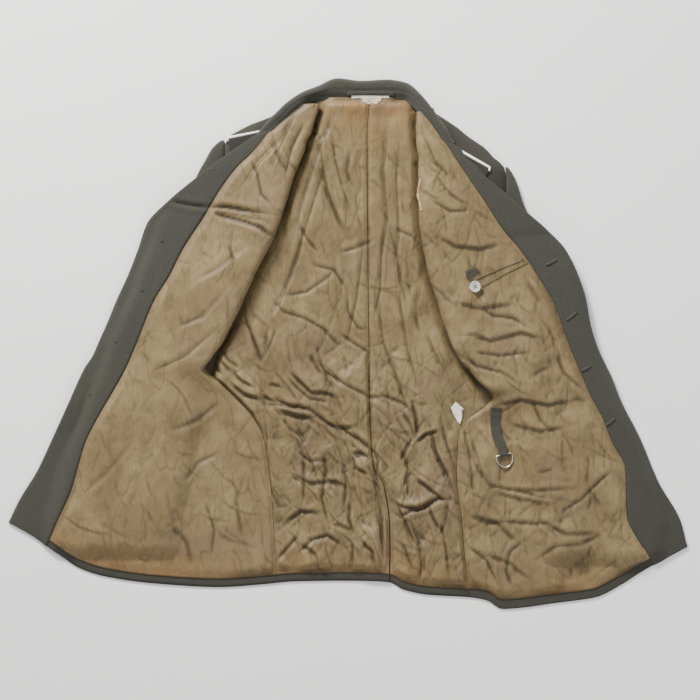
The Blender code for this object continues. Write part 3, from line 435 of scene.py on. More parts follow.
def crumple(x, y, salt):
    """The net of facets at three sizes; high on the back it turns into long hanging folds."""
    wx = x + 17 * hills(x, y, 52, salt) + 6 * hills(x, y, 19, salt + 1)
    wy = y + 22 * hills(x, y, 60, salt + 2) + 6 * hills(x, y, 21, salt + 4)
    large = facets(wx, wy, 46, 84, 0.25, salt)
    middle = facets(wx, wy, 23, 40, -0.5, salt + 7)
    small = facets(wx, wy, 11, 20, 0.7, salt + 9)
    here = ease(0.5 + 0.8 * hills(x, y, 44, salt + 11))
    there = ease(0.45 + 0.9 * hills(x, y, 33, salt + 12))
    lower = 0.85 * large + 0.55 * middle * (0.4 + 0.6 * here) + 0.2 * small * there
    hanging = facets(wx, wy, 20, 170, 0.10, salt + 13)
    upper = 0.5 * hanging + 0.5 * large + 0.3 * middle * there + 0.1 * small * here
    return lower + (upper - lower) * ease((y - 40) / 130)


def smooth_satin(x, y, salt):
    """Wide soft swells, for cloth that lies almost smooth."""
    wx = x + 24 * hills(x, y, 80, salt)
    wy = y + 24 * hills(x, y, 74, salt + 2)
    wide = facets(wx, wy, 60, 120, -0.45, salt)
    small = facets(wx, wy, 24, 52, -0.3, salt + 7)
    here = ease(0.3 + 0.9 * hills(x, y, 60, salt + 11))
    return 0.8 * wide + 0.35 * small * (0.3 + 0.7 * here) + 0.4 * hills(x, y, 70, salt + 9)


# %% [markdown]
# ## Folds placed one by one
# Each row is one fold of the lining: its height (a trough is below nought), its half width, and
# then the columns and rows of the picture that its line runs through. The line fades in and out
# at its ends, and one flank is steeper than the other, as on a real crease.

# %% Folds of the lining
Crease = namedtuple("Crease", "height width line")


def creases(*rows):
    return [Crease(row[0], row[1], list(zip(row[2::2], row[3::2]))) for row in rows]
BACK_CREASES = creases(
    (-4, 6, 300, 225, 306, 238, 318, 252),
    (-3.6, 6, 340, 252, 356, 248, 376, 238),
    (-3.6, 6, 310, 264, 334, 270, 348, 292),
    (-3.4, 6, 336, 270, 324, 280, 306, 292, 280, 296),
    (-4, 6, 384, 230, 381, 262, 380, 290, 372, 326),
    (-4.2, 6, 272, 300, 284, 312, 304, 318, 322, 328, 338, 342),
    (-4, 6, 338, 332, 352, 342, 368, 352, 366, 370),
    (-3.8, 6, 347, 292, 348, 312, 358, 328, 368, 330),
    (-3.4, 6, 386, 220, 396, 250, 400, 280, 408, 310),
    (-3.4, 6, 394, 228, 412, 236, 424, 248),
    (-3.2, 6, 240, 306, 250, 330, 261, 362),
    (-3.4, 5, 262, 362, 272, 340, 276, 328),
    (4.5, 9, 321, 130, 325, 165, 330, 190, 340, 215, 348, 235),
    (-3, 6, 331, 128, 335, 160, 343, 190, 352, 215),
    (3, 7, 353, 155, 350, 170, 355, 190),
    (4, 10, 340, 110, 322, 150, 306, 200, 292, 250),
    (-3, 7, 330, 150, 314, 200, 300, 245, 282, 300),
    (3.5, 9, 392, 120, 386, 170, 390, 220, 382, 270),
    (-2.6, 6, 400, 130, 396, 180, 399, 235, 393, 270),
    (3.4, 9, 312, 210, 300, 260, 282, 305, 262, 330),
    (3, 8, 352, 250, 342, 300, 325, 345, 310, 372),
    (-3, 6, 364, 245, 356, 300, 345, 350),
    (3.2, 8, 405, 240, 402, 300, 410, 350, 420, 385),
    (3.2, 7, 380, 290, 385, 340, 400, 380, 412, 415),
    (-3.4, 6, 250, 331, 258, 350, 262, 366),
    (3.6, 6, 270, 331, 267, 350, 262, 366),
    (3.6, 6, 237, 372, 243, 379, 255, 385),
    (3, 6, 222, 358, 233, 371),
    (3.2, 6, 223, 409, 233, 411, 256, 410),
    (4, 6, 252, 413, 260, 425, 264, 435, 267, 450, 262, 458),
    (3, 11, 200, 423, 213, 405, 222, 388),
    (3, 9, 228, 412, 225, 425, 215, 437),
    (4.6, 7, 288, 365, 302, 380, 312, 390, 325, 390, 340, 395),
    (-3.4, 6, 284, 374, 298, 389, 310, 399, 332, 402),
    (4.4, 11, 278, 406, 297, 412, 317, 415),
    (3.6, 7, 324, 419, 340, 425, 356, 424),
    (3.6, 6, 315, 420, 304, 441, 289, 432, 278, 418),
    (2.6, 5, 268, 381, 282, 384),
    (2.6, 5, 262, 393, 276, 400),
    (3.6, 6, 311, 350, 318, 364, 326, 376),
    (-3.2, 5, 316, 345, 322, 366, 330, 385),
    (3, 6, 326, 330, 340, 342),
    (3, 6, 222, 455, 248, 449),
    (4, 6, 373, 454, 371, 465, 377, 483, 381, 488),
    (-4, 5, 380, 500, 381, 520, 383, 548),
    (-6, 9, 371, 446, 373, 462, 378, 490, 381, 530, 385, 575),
    (-4.2, 6, 310, 350, 326, 372, 344, 384, 368, 396, 390, 404),
    (-4, 6, 264, 404, 286, 406, 310, 410, 334, 428, 352, 440),
    (-4.4, 6, 264, 412, 267, 440, 262, 462, 270, 490, 280, 510),
    (-4, 6, 322, 452, 326, 470, 322, 500, 330, 530),
    (-4, 6, 368, 398, 384, 396, 404, 404, 414, 416),
    (-4.2, 6, 388, 508, 402, 516, 418, 508, 434, 500, 454, 498),
    (-3.8, 6, 456, 500, 450, 480, 440, 462, 432, 446),
    (-4, 6, 408, 520, 418, 540, 422, 566, 418, 588),
    (-3.6, 6, 440, 520, 446, 550, 450, 586),
    (-4, 6, 296, 556, 312, 540, 328, 536, 346, 548),
    (-4, 6, 272, 566, 286, 550, 300, 534),
    (-3.6, 6, 224, 412, 220, 430, 226, 456),
    (-3.4, 6, 240, 420, 252, 440, 260, 430),
    (-3.6, 6, 296, 424, 304, 442, 312, 424),
    (-3.8, 6, 400, 446, 408, 470, 402, 494),
    (-3.6, 6, 416, 440, 410, 424, 402, 412),
    (5, 6, 415, 440, 413, 420, 408, 398),
    (4.4, 5, 415, 440, 425, 432, 440, 428),
    (5, 6, 415, 440, 408, 452, 404, 463),
    (-4.2, 6, 412, 470, 407, 480, 408, 500),
    (4.6, 7, 417, 476, 430, 486, 445, 498),
    (4.6, 7, 395, 500, 405, 505, 421, 506, 432, 500),
    (4.2, 7, 432, 420, 438, 450, 447, 470, 456, 500),
    (-3.6, 6, 440, 418, 447, 446, 456, 470),
    (3.8, 6, 452, 500, 448, 520, 443, 540),
    (4.2, 7, 397, 497, 404, 515, 412, 530, 420, 548),
    (3.6, 6, 430, 505, 436, 518, 442, 530),
    (3.6, 6, 404, 540, 410, 556, 415, 572),
    (-3.4, 5, 424, 555, 424, 575),
    (3.4, 6, 352, 450, 362, 451, 370, 455),
    (3.2, 6, 355, 455, 357, 466, 370, 472),
    (4, 7, 353, 500, 352, 518, 356, 535),
    (3.4, 6, 350, 533, 340, 529, 330, 526),
    (3.6, 6, 356, 540, 355, 558, 353, 575),
    (4, 7, 360, 535, 368, 544, 375, 550, 378, 575),
    (3.6, 9, 290, 470, 310, 480, 335, 478, 352, 486),
    (3.4, 8, 282, 520, 300, 508, 322, 510),
    (3.2, 8, 300, 540, 318, 552, 322, 572),
    (-3, 6, 296, 450, 310, 462, 330, 460),
    (3, 8, 428, 330, 436, 350, 448, 372),
    (3, 8, 425, 280, 418, 310, 424, 340),
    (-6, 8, 210, 352, 214, 366, 222, 376),
    (5, 8, 212, 374, 222, 388, 230, 404),
    (-4, 6, 220, 346, 228, 360, 240, 368),
    (5, 9, 232, 380, 246, 392, 262, 396),
    (-4.6, 7, 272, 398, 290, 406, 305, 408),
    (-4.6, 7, 330, 418, 346, 432, 360, 440, 372, 450),
    (-5, 6, 374, 452, 378, 462, 376, 474, 384, 490),
    (-4, 6, 404, 505, 416, 510, 428, 506, 440, 498),
    (-3.6, 6, 344, 462, 346, 484, 344, 512),
    (-3.6, 6, 303, 455, 304, 480, 303, 505),
)
RIGHT_CREASES = creases(
    (-5, 7, 176, 203, 189, 206, 210, 207, 228, 207.5, 246, 211, 276, 215),
    (-4.4, 6, 203, 207, 223, 216.5, 246, 223, 262, 229, 274, 237),
    (-3, 16, 214, 211, 240, 215.5, 268, 222),
    (-2.6, 6, 256, 224, 268, 237),
    (3, 8, 296, 118, 282, 150, 272, 176),
    (-2.8, 7, 306, 120, 292, 150, 284, 182),
    (-2.6, 6, 250, 158, 258, 176, 262, 196, 272, 205),
    (2.4, 8, 232, 240, 238, 262, 230, 284),
    (2.4, 8, 299, 112, 290, 132),
    (2.4, 8, 275, 135, 283, 160, 290, 170),
    (2.6, 9, 286, 140, 262, 165, 246, 192),
    (2, 10, 250, 250, 222, 272, 196, 286),
    (2.2, 9, 232, 290, 205, 320, 176, 332),
    (-1.8, 8, 216, 330, 186, 356, 150, 372),
    (2.2, 10, 226, 402, 200, 423, 170, 436),
    (2.2, 8, 222, 455, 200, 466, 182, 486),
    (1.8, 10, 250, 470, 240, 500, 246, 540),
    (1.6, 12, 140, 440, 110, 476, 84, 498),
    (1.8, 10, 168, 520, 190, 540, 196, 566),
    (-1.6, 9, 204, 500, 214, 530, 210, 560),
)
LEFT_CREASES = creases(
    (-3.4, 6, 470, 452, 478, 470, 490, 486, 520, 492, 560, 500),
    (-3, 6, 470, 516, 486, 524, 508, 522, 536, 524, 562, 520),
    (-3, 6, 468, 546, 486, 560, 498, 584),
    (-2.8, 6, 512, 590, 506, 570, 510, 552, 524, 540),
    (-3, 6, 462, 376, 480, 384, 498, 396),
    (-2.8, 6, 456, 350, 476, 366, 500, 372, 520, 384),
    (-2.6, 6, 470, 300, 492, 316, 512, 318, 528, 328),
    (-2.8, 6, 536, 560, 556, 546, 580, 544, 602, 534),
    (-2.6, 6, 560, 512, 580, 500, 600, 480, 612, 470),
    (-2.6, 6, 530, 398, 540, 420, 556, 436),
    (2.4, 8, 424, 130, 436, 160, 452, 176),
    (-2.4, 6, 430, 200, 450, 212, 470, 210),
    (2.6, 8, 434, 232, 456, 244, 480, 246, 500, 240),
    (2.4, 8, 452, 300, 480, 306, 512, 300),
    (2.6, 7, 462, 330, 490, 338, 520, 330, 545, 336),
    (-2.6, 6, 470, 352, 500, 356, 530, 352),
    (2.8, 8, 494, 402, 520, 396, 548, 402, 572, 396),
    (2.4, 7, 512, 420, 540, 428, 566, 424),
    (2, 6, 470.5, 428, 482, 464, 488, 486),
    (2, 6, 488, 486, 520, 496, 562, 502),
    (2, 6, 506, 487, 540, 487, 573, 484),
    (2, 6, 591, 455, 589, 484),
    (2.6, 8, 470, 512, 498, 520, 520, 540),
    (2.4, 8, 540, 516, 566, 530, 600, 530),
    (2.4, 8, 482, 550, 510, 560, 536, 580),
    (-2.4, 6, 462, 420, 470, 460, 474, 500),
    (2.2, 8, 528, 276, 540, 300, 536, 322),
    (2.2, 8, 556, 340, 566, 372, 590, 392),
)

WOOL_CREASES = {
    right: creases(
        (-4, 7, 170, 201, 182, 204, 196, 206.5, 214, 208),
        (1.6, 12, 120, 300, 112, 330, 100, 356),
        (-1.4, 9, 92, 378, 82, 410, 70, 440),
    ),
    left: creases(
        (1.6, 12, 556, 258, 566, 288, 580, 322),
        (-1.6, 9, 588, 372, 604, 404, 622, 440),
        (1.8, 11, 640, 470, 654, 500, 664, 536),
    ),
}


def fold_profile(away, flank, crease):
    """A ridge has one gentle side, and a steep one with a thin gutter; a trough is a slit."""
    width = crease.width
    if crease.height < 0:
        shoulders = 0.3 * np.exp(-(((away - width) / (0.7 * width)) ** 2))
        return np.exp(-((away / (0.32 * width + 0.9)) ** 1.3)) - shoulders
    gentle = np.exp(-((away / (1.3 * width)) ** 1.2))
    steep = np.exp(-((away / (0.28 * width + 1.2)) ** 1.6))
    gutter = 0.6 * np.exp(-(((away - 0.5 * width - 2.2) / (0.22 * width + 1.3)) ** 2))
    return np.where(flank < 0, gentle, steep - gutter)


def fold_heights(x, y, folds, line_shade_and_dirt=None):
    """The height of all the folds. Where an array for the fold lines is given, painted crease shade
    and dirt go into it along each fold's foot.
    """
    total = np.zeros_like(x)
    for crease in folds:
        line = np.array([at_px(*place) for place in crease.line])
        reach = 3.2 * crease.width
        low = line.min(axis=0) - reach
        high = line.max(axis=0) + reach
        near = (x > low[0]) & (x < high[0]) & (y > low[1]) & (y < high[1])
        if not near.any():
            continue
        px = x[near]
        py = y[near]
        best = np.full(px.shape, 1e9)
        flank = np.zeros(px.shape)
        how_far = np.zeros(px.shape)
        for k, (a, b) in enumerate(zip(line, line[1:])):
            run = b - a
            t = np.clip(((px - a[0]) * run[0] + (py - a[1]) * run[1]) / (run @ run), 0.0, 1.0)
            dx = px - a[0] - t * run[0]
            dy = py - a[1] - t * run[1]
            away = np.hypot(dx, dy)
            closer = away < best
            best = np.where(closer, away, best)
            flank = np.where(closer, np.sign(dx * run[1] - dy * run[0]), flank)
            how_far = np.where(closer, (k + t) / (len(line) - 1), how_far)
        fade = ease(how_far / 0.25) * ease((1 - how_far) / 0.25) * 0.85 + 0.15
        total[near] += crease.height * fade * fold_profile(best, flank, crease)
        # A thin dark line at each fold's foot: painted crease shade and dirt.
        if line_shade_and_dirt is not None:
            foot = 0.0 if crease.height < 0 else 0.3 * crease.width + 1.2
            off_line = np.where(flank < 0, -best, best) - foot
            strength = min(0.78, 0.22 + 0.14 * abs(crease.height)) * fade
            dark = strength * np.exp(-((off_line / 1.6) ** 2))
            line_shade_and_dirt[near] = np.maximum(line_shade_and_dirt[near], dark)
    return total


def small_creases(count, x_span, y_span, salt):
    """Short creases scattered over an area, most of them running down the garment."""
    made = []
    for k in range(count):
        x = x_span[0] + (x_span[1] - x_span[0]) * scattered(k, 1, salt)
        y = y_span[0] + (y_span[1] - y_span[0]) * scattered(k, 2, salt)
        turn = math.pi / 2 + 1.15 * (2 * scattered(k, 3, salt) - 1)
        length = 14 + 38 * scattered(k, 4, salt) ** 1.6
        bend = 0.35 * (2 * scattered(k, 5, salt) - 1)
        line = [(x, y)]
        for step in range(3):
            heading = turn + bend * step
            x += math.cos(heading) * length / 3
            y += math.sin(heading) * length / 3
            line.append((x, y))
        height = (0.6 + 1.3 * scattered(k, 6, salt)) * (1 if scattered(k, 7, salt) > 0.45 else -1)
        made.append(Crease(height, 1.8 + 3.4 * scattered(k, 8, salt), line))
    return made


BACK_SMALL = small_creases(230, (205, 475), (115, 585), 1)
BACK_SMALL += small_creases(420, (215, 475), (340, 585), 8)
RIGHT_SMALL = small_creases(130, (60, 300), (120, 585), 2)
LEFT_SMALL = small_creases(300, (420, 640), (120, 585), 5)
print("hand-placed folds", len(BACK_CREASES) + len(RIGHT_CREASES) + len(LEFT_CREASES))

# %% [markdown]
# ## From a grid of points to cloth
# A sheet starts as Blender's own flat grid. Each of its corners is moved to its place, and the
# Solidify modifier then gives the cloth its wall, downward from the side that shows. A colour
# layer keeps how hollow each place is, so that a material can darken the hollows with painted
# shade and dirt.

# %% Cloth from a grid
SHADE_AND_WEAR = "shade_and_wear"
NARROWEST_CUT = 10.5
UP = np.array([0.0, 0.0, 1.0])


def unit_normals(points):
    normal = np.cross(np.gradient(points, axis=1), np.gradient(points, axis=0))
    return normal / np.maximum(np.linalg.norm(normal, axis=2, keepdims=True), 1e-9)


def upward(points):
    return np.zeros_like(points) + UP


def blurred(field, reach):
    for axis in (0, 1):
        last = field.shape[axis] - 1
        total = np.zeros_like(field)
        for step in range(-reach, reach + 1):
            total += np.take(field, np.clip(np.arange(last + 1) + step, 0, last), axis)
        field = total / (2 * reach + 1)
    return field


def softened(field):
    return (field + blurred(field, 1)) / 2


def cut_of(points):
    """Width and length of the flat cut, and its area, measured along the cloth."""
    across = np.linalg.norm(np.diff(points, axis=1), axis=2).sum(axis=1)
    diagonals = np.cross(points[1:, 1:] - points[:-1, :-1], points[1:, :-1] - points[:-1, 1:])
    area = np.linalg.norm(diagonals, axis=2).sum() / 2
    return across.max(), area / across.mean(), area


def with_wall(piece, wall):
    shell = piece.modifiers.new("wall", "SOLIDIFY")
    shell.thickness = wall * MM
    shell.offset = -1.0


def state_cut(width, length, area):
    width = max(width, NARROWEST_CUT)
    length = max(length, NARROWEST_CUT)
    area = max(min(area, 0.999 * width * length), 0.31 * width * length)


def finished(piece, finish, replaced=None, body="jacket"):
    """replaced lists the CAD nodes that the piece stands for; None says nothing of them."""
    piece.data.materials.clear()
    piece.data.materials.append(finish)
    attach(piece, body)
    if replaced is not None:
        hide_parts(*replaced)
    return piece


def object_of(mesh, name):
    piece = bpy.data.objects.new(name, mesh)
    bpy.context.scene.collection.objects.link(piece)
    return piece


def cloth(name, points, facing_up, wall, finish, replaced, shade_and_wear=None):
    """points is rows by columns by xyz in millimetres; facing_up is the side that shows."""
    rows, columns = points.shape[:2]
    bm = bmesh.new()
    bmesh.ops.create_grid(bm, x_segments=columns - 1, y_segments=rows - 1, size=0.5)
    mesh = bpy.data.meshes.new(name)
    bm.to_mesh(mesh)
    bm.free()
    flat = np.empty(len(mesh.vertices) * 3)
    mesh.vertices.foreach_get("co", flat)
    flat = flat.reshape(-1, 3)
    column = np.rint((flat[:, 0] + 0.5) * (columns - 1)).astype(int)
    row = np.rint((0.5 - flat[:, 1]) * (rows - 1)).astype(int)
    mesh.vertices.foreach_set("co", (points[row, column] * MM).ravel())
    mesh.update()
    middle = mesh.polygons[len(mesh.polygons) // 2]
    wanted = facing_up[row, column][middle.vertices[0]]
    if middle.normal.dot(Vector(wanted)) < 0:
        mesh.flip_normals()
    mesh.polygons.foreach_set("use_smooth", [True] * len(mesh.polygons))
    if shade_and_wear is not None:
        layer = mesh.attributes.new(SHADE_AND_WEAR, "FLOAT_COLOR", "POINT")
        layer.data.foreach_set("color", shade_and_wear[row, column].ravel())
    piece = object_of(mesh, name)
    with_wall(piece, wall)
    finished(piece, finish, replaced)
    width, length, area = cut_of(points)
    state_cut(width, length, area)
    print(name, rows, "x", columns, "seen", round(width), "x", round(length), "mm")
    return piece


# %% [markdown]
# ## Finishes: wool
# Field-grey wool is a dense twill with a short nap. Its colour is a dark grey with a little
# green and brown, speckled because dark and pale fibres are spun together. The nap scatters
# light at grazing angles, which the sheen gives.

# %% Material helpers
class Finish:
    """A material, and the nodes that drive its shader from the object's own coordinates."""

    def __init__(self, name, shader_values):
        self.material = bpy.data.materials.new(name)
        self.material.use_nodes = True
        self.nodes = self.material.node_tree.nodes
        self.links = self.material.node_tree.links
        self.shader = self.nodes["Principled BSDF"]
        for socket, value in shader_values.items():
            self.shader.inputs[socket].default_value = value
        self.place = self.nodes.new("ShaderNodeTexCoord").outputs["Object"]

    def node(self, kind, sockets, **settings):
        """A new node, with its sockets set to values or joined to other nodes' outputs."""
        made = self.nodes.new(kind)
        for name, value in settings.items():
            setattr(made, name, value)
        for socket, value in sockets.items():
            if isinstance(value, bpy.types.NodeSocket):
                self.links.new(value, made.inputs[socket])
            else:
                made.inputs[socket].default_value = value
        return made

    def noise(self, size_mm, detail=3.0, rough=0.55, stretch=(1, 1, 1), **mapping):
        sockets = {"Vector": self.place, "Scale": stretch, **mapping}
        kind = "TEXTURE" if mapping else "POINT"
        stretched = self.node("ShaderNodeMapping", sockets, vector_type=kind)
        sockets = {"Scale": 1000.0 / size_mm, "Detail": detail, "Roughness": rough}
        sockets["Vector"] = stretched.outputs["Vector"]
        return self.node("ShaderNodeTexNoise", sockets).outputs["Fac"]

    def twill(self, pitch_mm, turn_deg):
        sockets = {"Vector": self.place, "Rotation": (0, 0, math.radians(turn_deg))}
        turned = self.node("ShaderNodeMapping", sockets)
        sockets = {"Scale": 1000.0 / pitch_mm / 20 * math.pi, "Distortion": 0.6, "Detail": 1.0}
        sockets["Vector"] = turned.outputs["Vector"]
        return self.node("ShaderNodeTexWave", sockets).outputs["Fac"]

    def hairlines(self, size_mm, turn, width):
        """Nought on long thin lines that mostly follow one heading, and one away from them."""
        waves = self.noise(size_mm, 1.5, 0.45, (1.0, 3.4, 3.4), Rotation=(0, 0, turn))
        return self.ramp(self.math("ABSOLUTE", self.math("SUBTRACT", waves, 0.5)), 0.0, width)

    def ramp(self, value, low, high):
        sockets = {"Value": value, "From Min": low, "From Max": high}
        made = self.node("ShaderNodeMapRange", sockets, interpolation_type="SMOOTHSTEP")
        return made.outputs["Result"]

    def inverted(self, value):
        return self.ramp(value, 1.0, 0.0)

    def math(self, operation, *values):
        made = self.node("ShaderNodeMath", dict(enumerate(values)), operation=operation)
        return made.outputs[0]

    def times(self, first, second):
        return self.math("MULTIPLY", first, second)

    def plus(self, first, second):
        return self.math("ADD", first, second)

    def mix(self, share, *colours):
        first, second = [c + (1.0,) if isinstance(c, tuple) else c for c in colours]
        sockets = {0: share, 6: first, 7: second}
        return self.node("ShaderNodeMix", sockets, data_type="RGBA").outputs[2]

    def shade_and_wear(self):
        layer = self.node("ShaderNodeAttribute", {}, attribute_name=SHADE_AND_WEAR)
        split = self.node("ShaderNodeSeparateColor", {"Color": layer.outputs["Color"]})
        return [split.outputs[name] for name in ("Red", "Green", "Blue")]

    def paint(self, colour, relief, depth_mm, strength):
        """Give the shader its colour and a relief of this depth; the material is ready."""
        sockets = {"Height": relief, "Distance": depth_mm * MM, "Strength": strength}
        bump = self.node("ShaderNodeBump", sockets)
        self.links.new(colour, self.shader.inputs["Base Color"])
        self.links.new(bump.outputs["Normal"], self.shader.inputs["Normal"])
        return self.material


WOOL_SHADER = {
    "Roughness": 0.93, "Sheen Weight": 0.12, "Sheen Roughness": 0.6, "Specular IOR Level": 0.2,
}


def wool_finish(name, dark, pale, brown):
    it = Finish(name, WOOL_SHADER)
    colour = it.mix(it.ramp(it.noise(1.1, 2.0, 0.6), 0.32, 0.68), dark, pale)
    patches = it.ramp(it.noise(85.0, 4.0, 0.55), 0.45, 0.75)
    colour = it.mix(it.times(patches, 0.55), colour, brown)
    weave = it.plus(it.times(it.twill(0.9, 62), 0.5), it.noise(2.2, 3.0))
    return it.paint(colour, weave, 0.35, 0.7)


wool = wool_finish(
    "field_grey_wool_cloth", (0.026, 0.026, 0.020), (0.047, 0.046, 0.036), (0.044, 0.039, 0.028),
)
wool_under = wool_finish(
    "field_grey_wool_inner", (0.026, 0.024, 0.019), (0.046, 0.042, 0.033), (0.045, 0.038, 0.028),
)
board_finish = wool_finish(
    "dark_board_wool", (0.018, 0.018, 0.015), (0.034, 0.033, 0.028), (0.030, 0.027, 0.022),
)

# %% [markdown]
# ## Finishes: satin
# The lining is a bronze satin twill. It has a soft wide sheen, fine threads, and the years show
# in it: olive and pinkish patches, and rust near the neck. Its hollows and thin crease lines are
# darkened with painted shade and dirt.

# %% Satin
SATIN_SHADER = {"Roughness": 0.52, "Specular IOR Level": 0.27, "Sheen Weight": 0.05}
SATIN_LIGHT = (0.225, 0.162, 0.077)
SATIN_MIDDLE = (0.164, 0.113, 0.051)
SATIN_OLIVE = (0.102, 0.074, 0.030)
SATIN_PINK = (0.164, 0.108, 0.057)
SATIN_SHADE_AND_DIRT = (0.026, 0.018, 0.007)
RUST = (0.250, 0.122, 0.036)


def satin_finish(name):
    it = Finish(name, SATIN_SHADER)
    # The colour layer holds painted shade and dirt in its first channel, then rust, then pink
    # patches.
    hollow_shade_and_dirt, rust, pink = it.shade_and_wear()
    clouds = it.ramp(it.noise(80.0, 5.0, 0.6), 0.38, 0.66)
    mottle = it.ramp(it.noise(22.0, 4.0, 0.6), 0.45, 0.75)
    streaks = it.noise(4.0, 3.0, 0.5, (1.0, 0.15, 1.0))
    long_lines = it.hairlines(24.0, 0.12, 0.045)
    slant_lines = it.hairlines(15.0, -0.60, 0.055)
    creased = it.ramp(it.noise(34.0, 2.0), 0.40, 0.60)
    smooth = it.inverted(creased)
    colour = it.mix(clouds, SATIN_MIDDLE, SATIN_LIGHT)
    # The dark hairlines follow the fine creases of the relief: painted crease shade and dirt.
    for share, laid_over in (
        (it.times(mottle, 0.6), SATIN_OLIVE),
        (it.times(it.ramp(streaks, 0.35, 0.75), 0.25), SATIN_OLIVE),
        (pink, SATIN_PINK),
        (it.times(it.times(it.inverted(long_lines), creased), 0.26), SATIN_SHADE_AND_DIRT),
        (it.times(it.times(it.inverted(slant_lines), smooth), 0.15), SATIN_SHADE_AND_DIRT),
        (hollow_shade_and_dirt, SATIN_SHADE_AND_DIRT),
        (rust, RUST),
    ):
        colour = it.mix(share, colour, laid_over)
    long_relief = it.times(it.times(long_lines, creased), 0.35)
    relief = it.plus(long_relief, it.times(it.times(slant_lines, smooth), 0.15))
    relief = it.plus(it.plus(relief, it.times(streaks, 0.5)), it.times(it.twill(0.7, -28), 0.06))
    return it.paint(colour, relief, 1.4, 0.8)


satin = satin_finish("bronze_satin_cloth")

# %% [markdown]
# ## Finishes: small parts
# Labels, tape, resin, thread and metal all have two tones in spots over a fine grain, so one
# table holds them. Spots and grain each begin with a size in millimetres and a detail.

# %% Speckled finishes
Speckle = namedtuple("Speckle", "name roughness metallic spots band first second grain depth")
SPECKLES = rows_of(Speckle, [
    ("white_cloth_worn", 0.85, 0.0, (5.0, 4.0), (0.35, 0.7),
     (0.80, 0.79, 0.75), (0.62, 0.60, 0.54), (1.0, 2.0), (0.2, 0.6)),
    ("white_piping_cloth", 0.85, 0.0, (5.0, 4.0), (0.35, 0.7),
     (0.92, 0.92, 0.90), (0.84, 0.84, 0.81), (1.0, 2.0), (0.2, 0.6)),
    ("cream_tape_cloth", 0.85, 0.0, (6.0, 4.0), (0.35, 0.7),
     (0.50, 0.33, 0.16), (0.36, 0.23, 0.10), (1.0, 2.0), (0.2, 0.6)),
    ("torn_label_cloth", 0.85, 0.0, (5.0, 4.0), (0.35, 0.7),
     (0.52, 0.42, 0.32), (0.34, 0.25, 0.17), (1.0, 2.0), (0.2, 0.6)),
    ("grey_resin", 0.28, 0.0, (4.0, 3.0), (0.35, 0.7),
     (0.50, 0.51, 0.50), (0.36, 0.37, 0.37), (3.0, 3.0), (0.1, 0.4)),
    ("dark_thread", 0.8, 0.0, (0.8, 3.0), None,
     (0.028, 0.026, 0.022), (0.075, 0.068, 0.055), (0.6, 3.0), (0.2, 0.6)),
    ("worn_steel_wire", 0.32, 1.0, (3.0, 4.0), (0.4, 0.7),
     (0.62, 0.60, 0.56), (0.30, 0.26, 0.21), (1.0, 3.0), (0.08, 0.5)),
    ("pebbled_metal", 0.42, 1.0, (2.0, 3.0), (0.4, 0.7),
     (0.50, 0.48, 0.44), (0.27, 0.25, 0.22), (0.9, 1.0), (0.3, 0.8)),
])


def speckled(look):
    it = Finish(look.name, {"Roughness": look.roughness, "Metallic": look.metallic})
    share = it.noise(*look.spots)
    if look.band:
        share = it.ramp(share, *look.band)
    return it.paint(it.mix(share, look.first, look.second), it.noise(*look.grain), *look.depth)


white_cloth, piping_cloth, cream_cloth, torn_cloth, resin, thread, steel, pebble = [
    speckled(look) for look in SPECKLES
]
print("finishes", len(bpy.data.materials))

# %% [markdown]
# ## Fine grids of the fronts
# One grid serves the wool, the lining and the facing of a front, so none of them can cut through
# another. The lining side is worked out first; the wool lies 2 mm behind it, and the satin and
# the facing lie a hair in front.

# %% The fronts' own grid
UNDER_COLUMNS, ROLL_COLUMNS, FLAP_COLUMNS, FACING_COLUMNS = 10, 22, 126, 12
BORDER_COLUMN = UNDER_COLUMNS + ROLL_COLUMNS + FLAP_COLUMNS
ROW_STEP = 2.6
HEM_ROW_STEP = 2.9
HEM_CELLS = 94


def front_columns():
    return np.concatenate([
        np.linspace(0, ROLL_FROM, UNDER_COLUMNS, endpoint=False),
        np.linspace(ROLL_FROM, ROLL_TO, ROLL_COLUMNS, endpoint=False),
        np.linspace(ROLL_TO, FACING_FROM, FLAP_COLUMNS, endpoint=False),
        np.linspace(FACING_FROM, 1.0, FACING_COLUMNS + 1),
    ])


def front_points(side):
    u = front_columns()
    top = FRONTS[side][0].y
    upper = np.linspace(top, ROWS_END, int((top - ROWS_END) / ROW_STEP) + 1)
    hem_y = np.full(u.shape, HEM_GUESS)
    for _ in range(14):
        out, _ = section(side, np.maximum(hem_y, FRONTS[side][-1].y), u)
        hem_y = hem_at(side * out)
    share = np.linspace(0, 1, HEM_CELLS + 1)[1:]
    lower = ROWS_END + (hem_y[None, :] - ROWS_END) * share[:, None]
    y = np.concatenate([np.repeat(upper[:, None], len(u), axis=1), lower])
    out, height = section(side, y, u[None, :] + 0 * y)
    return np.stack([side * out, y, height], axis=2), u


def wide_ripple(x, y, salt):
    """The wool's own long soft waves."""
    return 0.9 * (hills(x, y, 95, salt) + 1) * 0.5 + 0.35 * (hills(x, y, 34, salt + 1) + 1) * 0.5


front_grid = {}
for side in (right, left):
    points, u = front_points(side)
    x, y = points[..., 0], points[..., 1]
    on_flap = ease((u[None, :] - ROLL_TO) / 0.06)
    from_hem = ease((np.linspace(0, 1, len(points))[::-1][:, None]) / 0.03)
    dents = np.maximum(fold_heights(x, y, WOOL_CREASES[side]), -4.0)
    points[..., 2] += (wide_ripple(x, y, 40 + side) + dents) * on_flap * from_hem
    normals = unit_normals(points)
    if normals[len(points) // 2, BORDER_COLUMN // 2, 2] < 0:
        normals = -normals
    front_grid[side] = (points, normals, u)
    print("front", SIDES[side], points.shape)

# %% [markdown]
# ## The wool fronts
# The wool is the garment's outside. It shows at the front edge, the hem and the strip by the
# shoulder, and from below. Every third point of the grid is enough for such a heavy cloth.

# %% Wool fronts
WOOL_STEP = 3


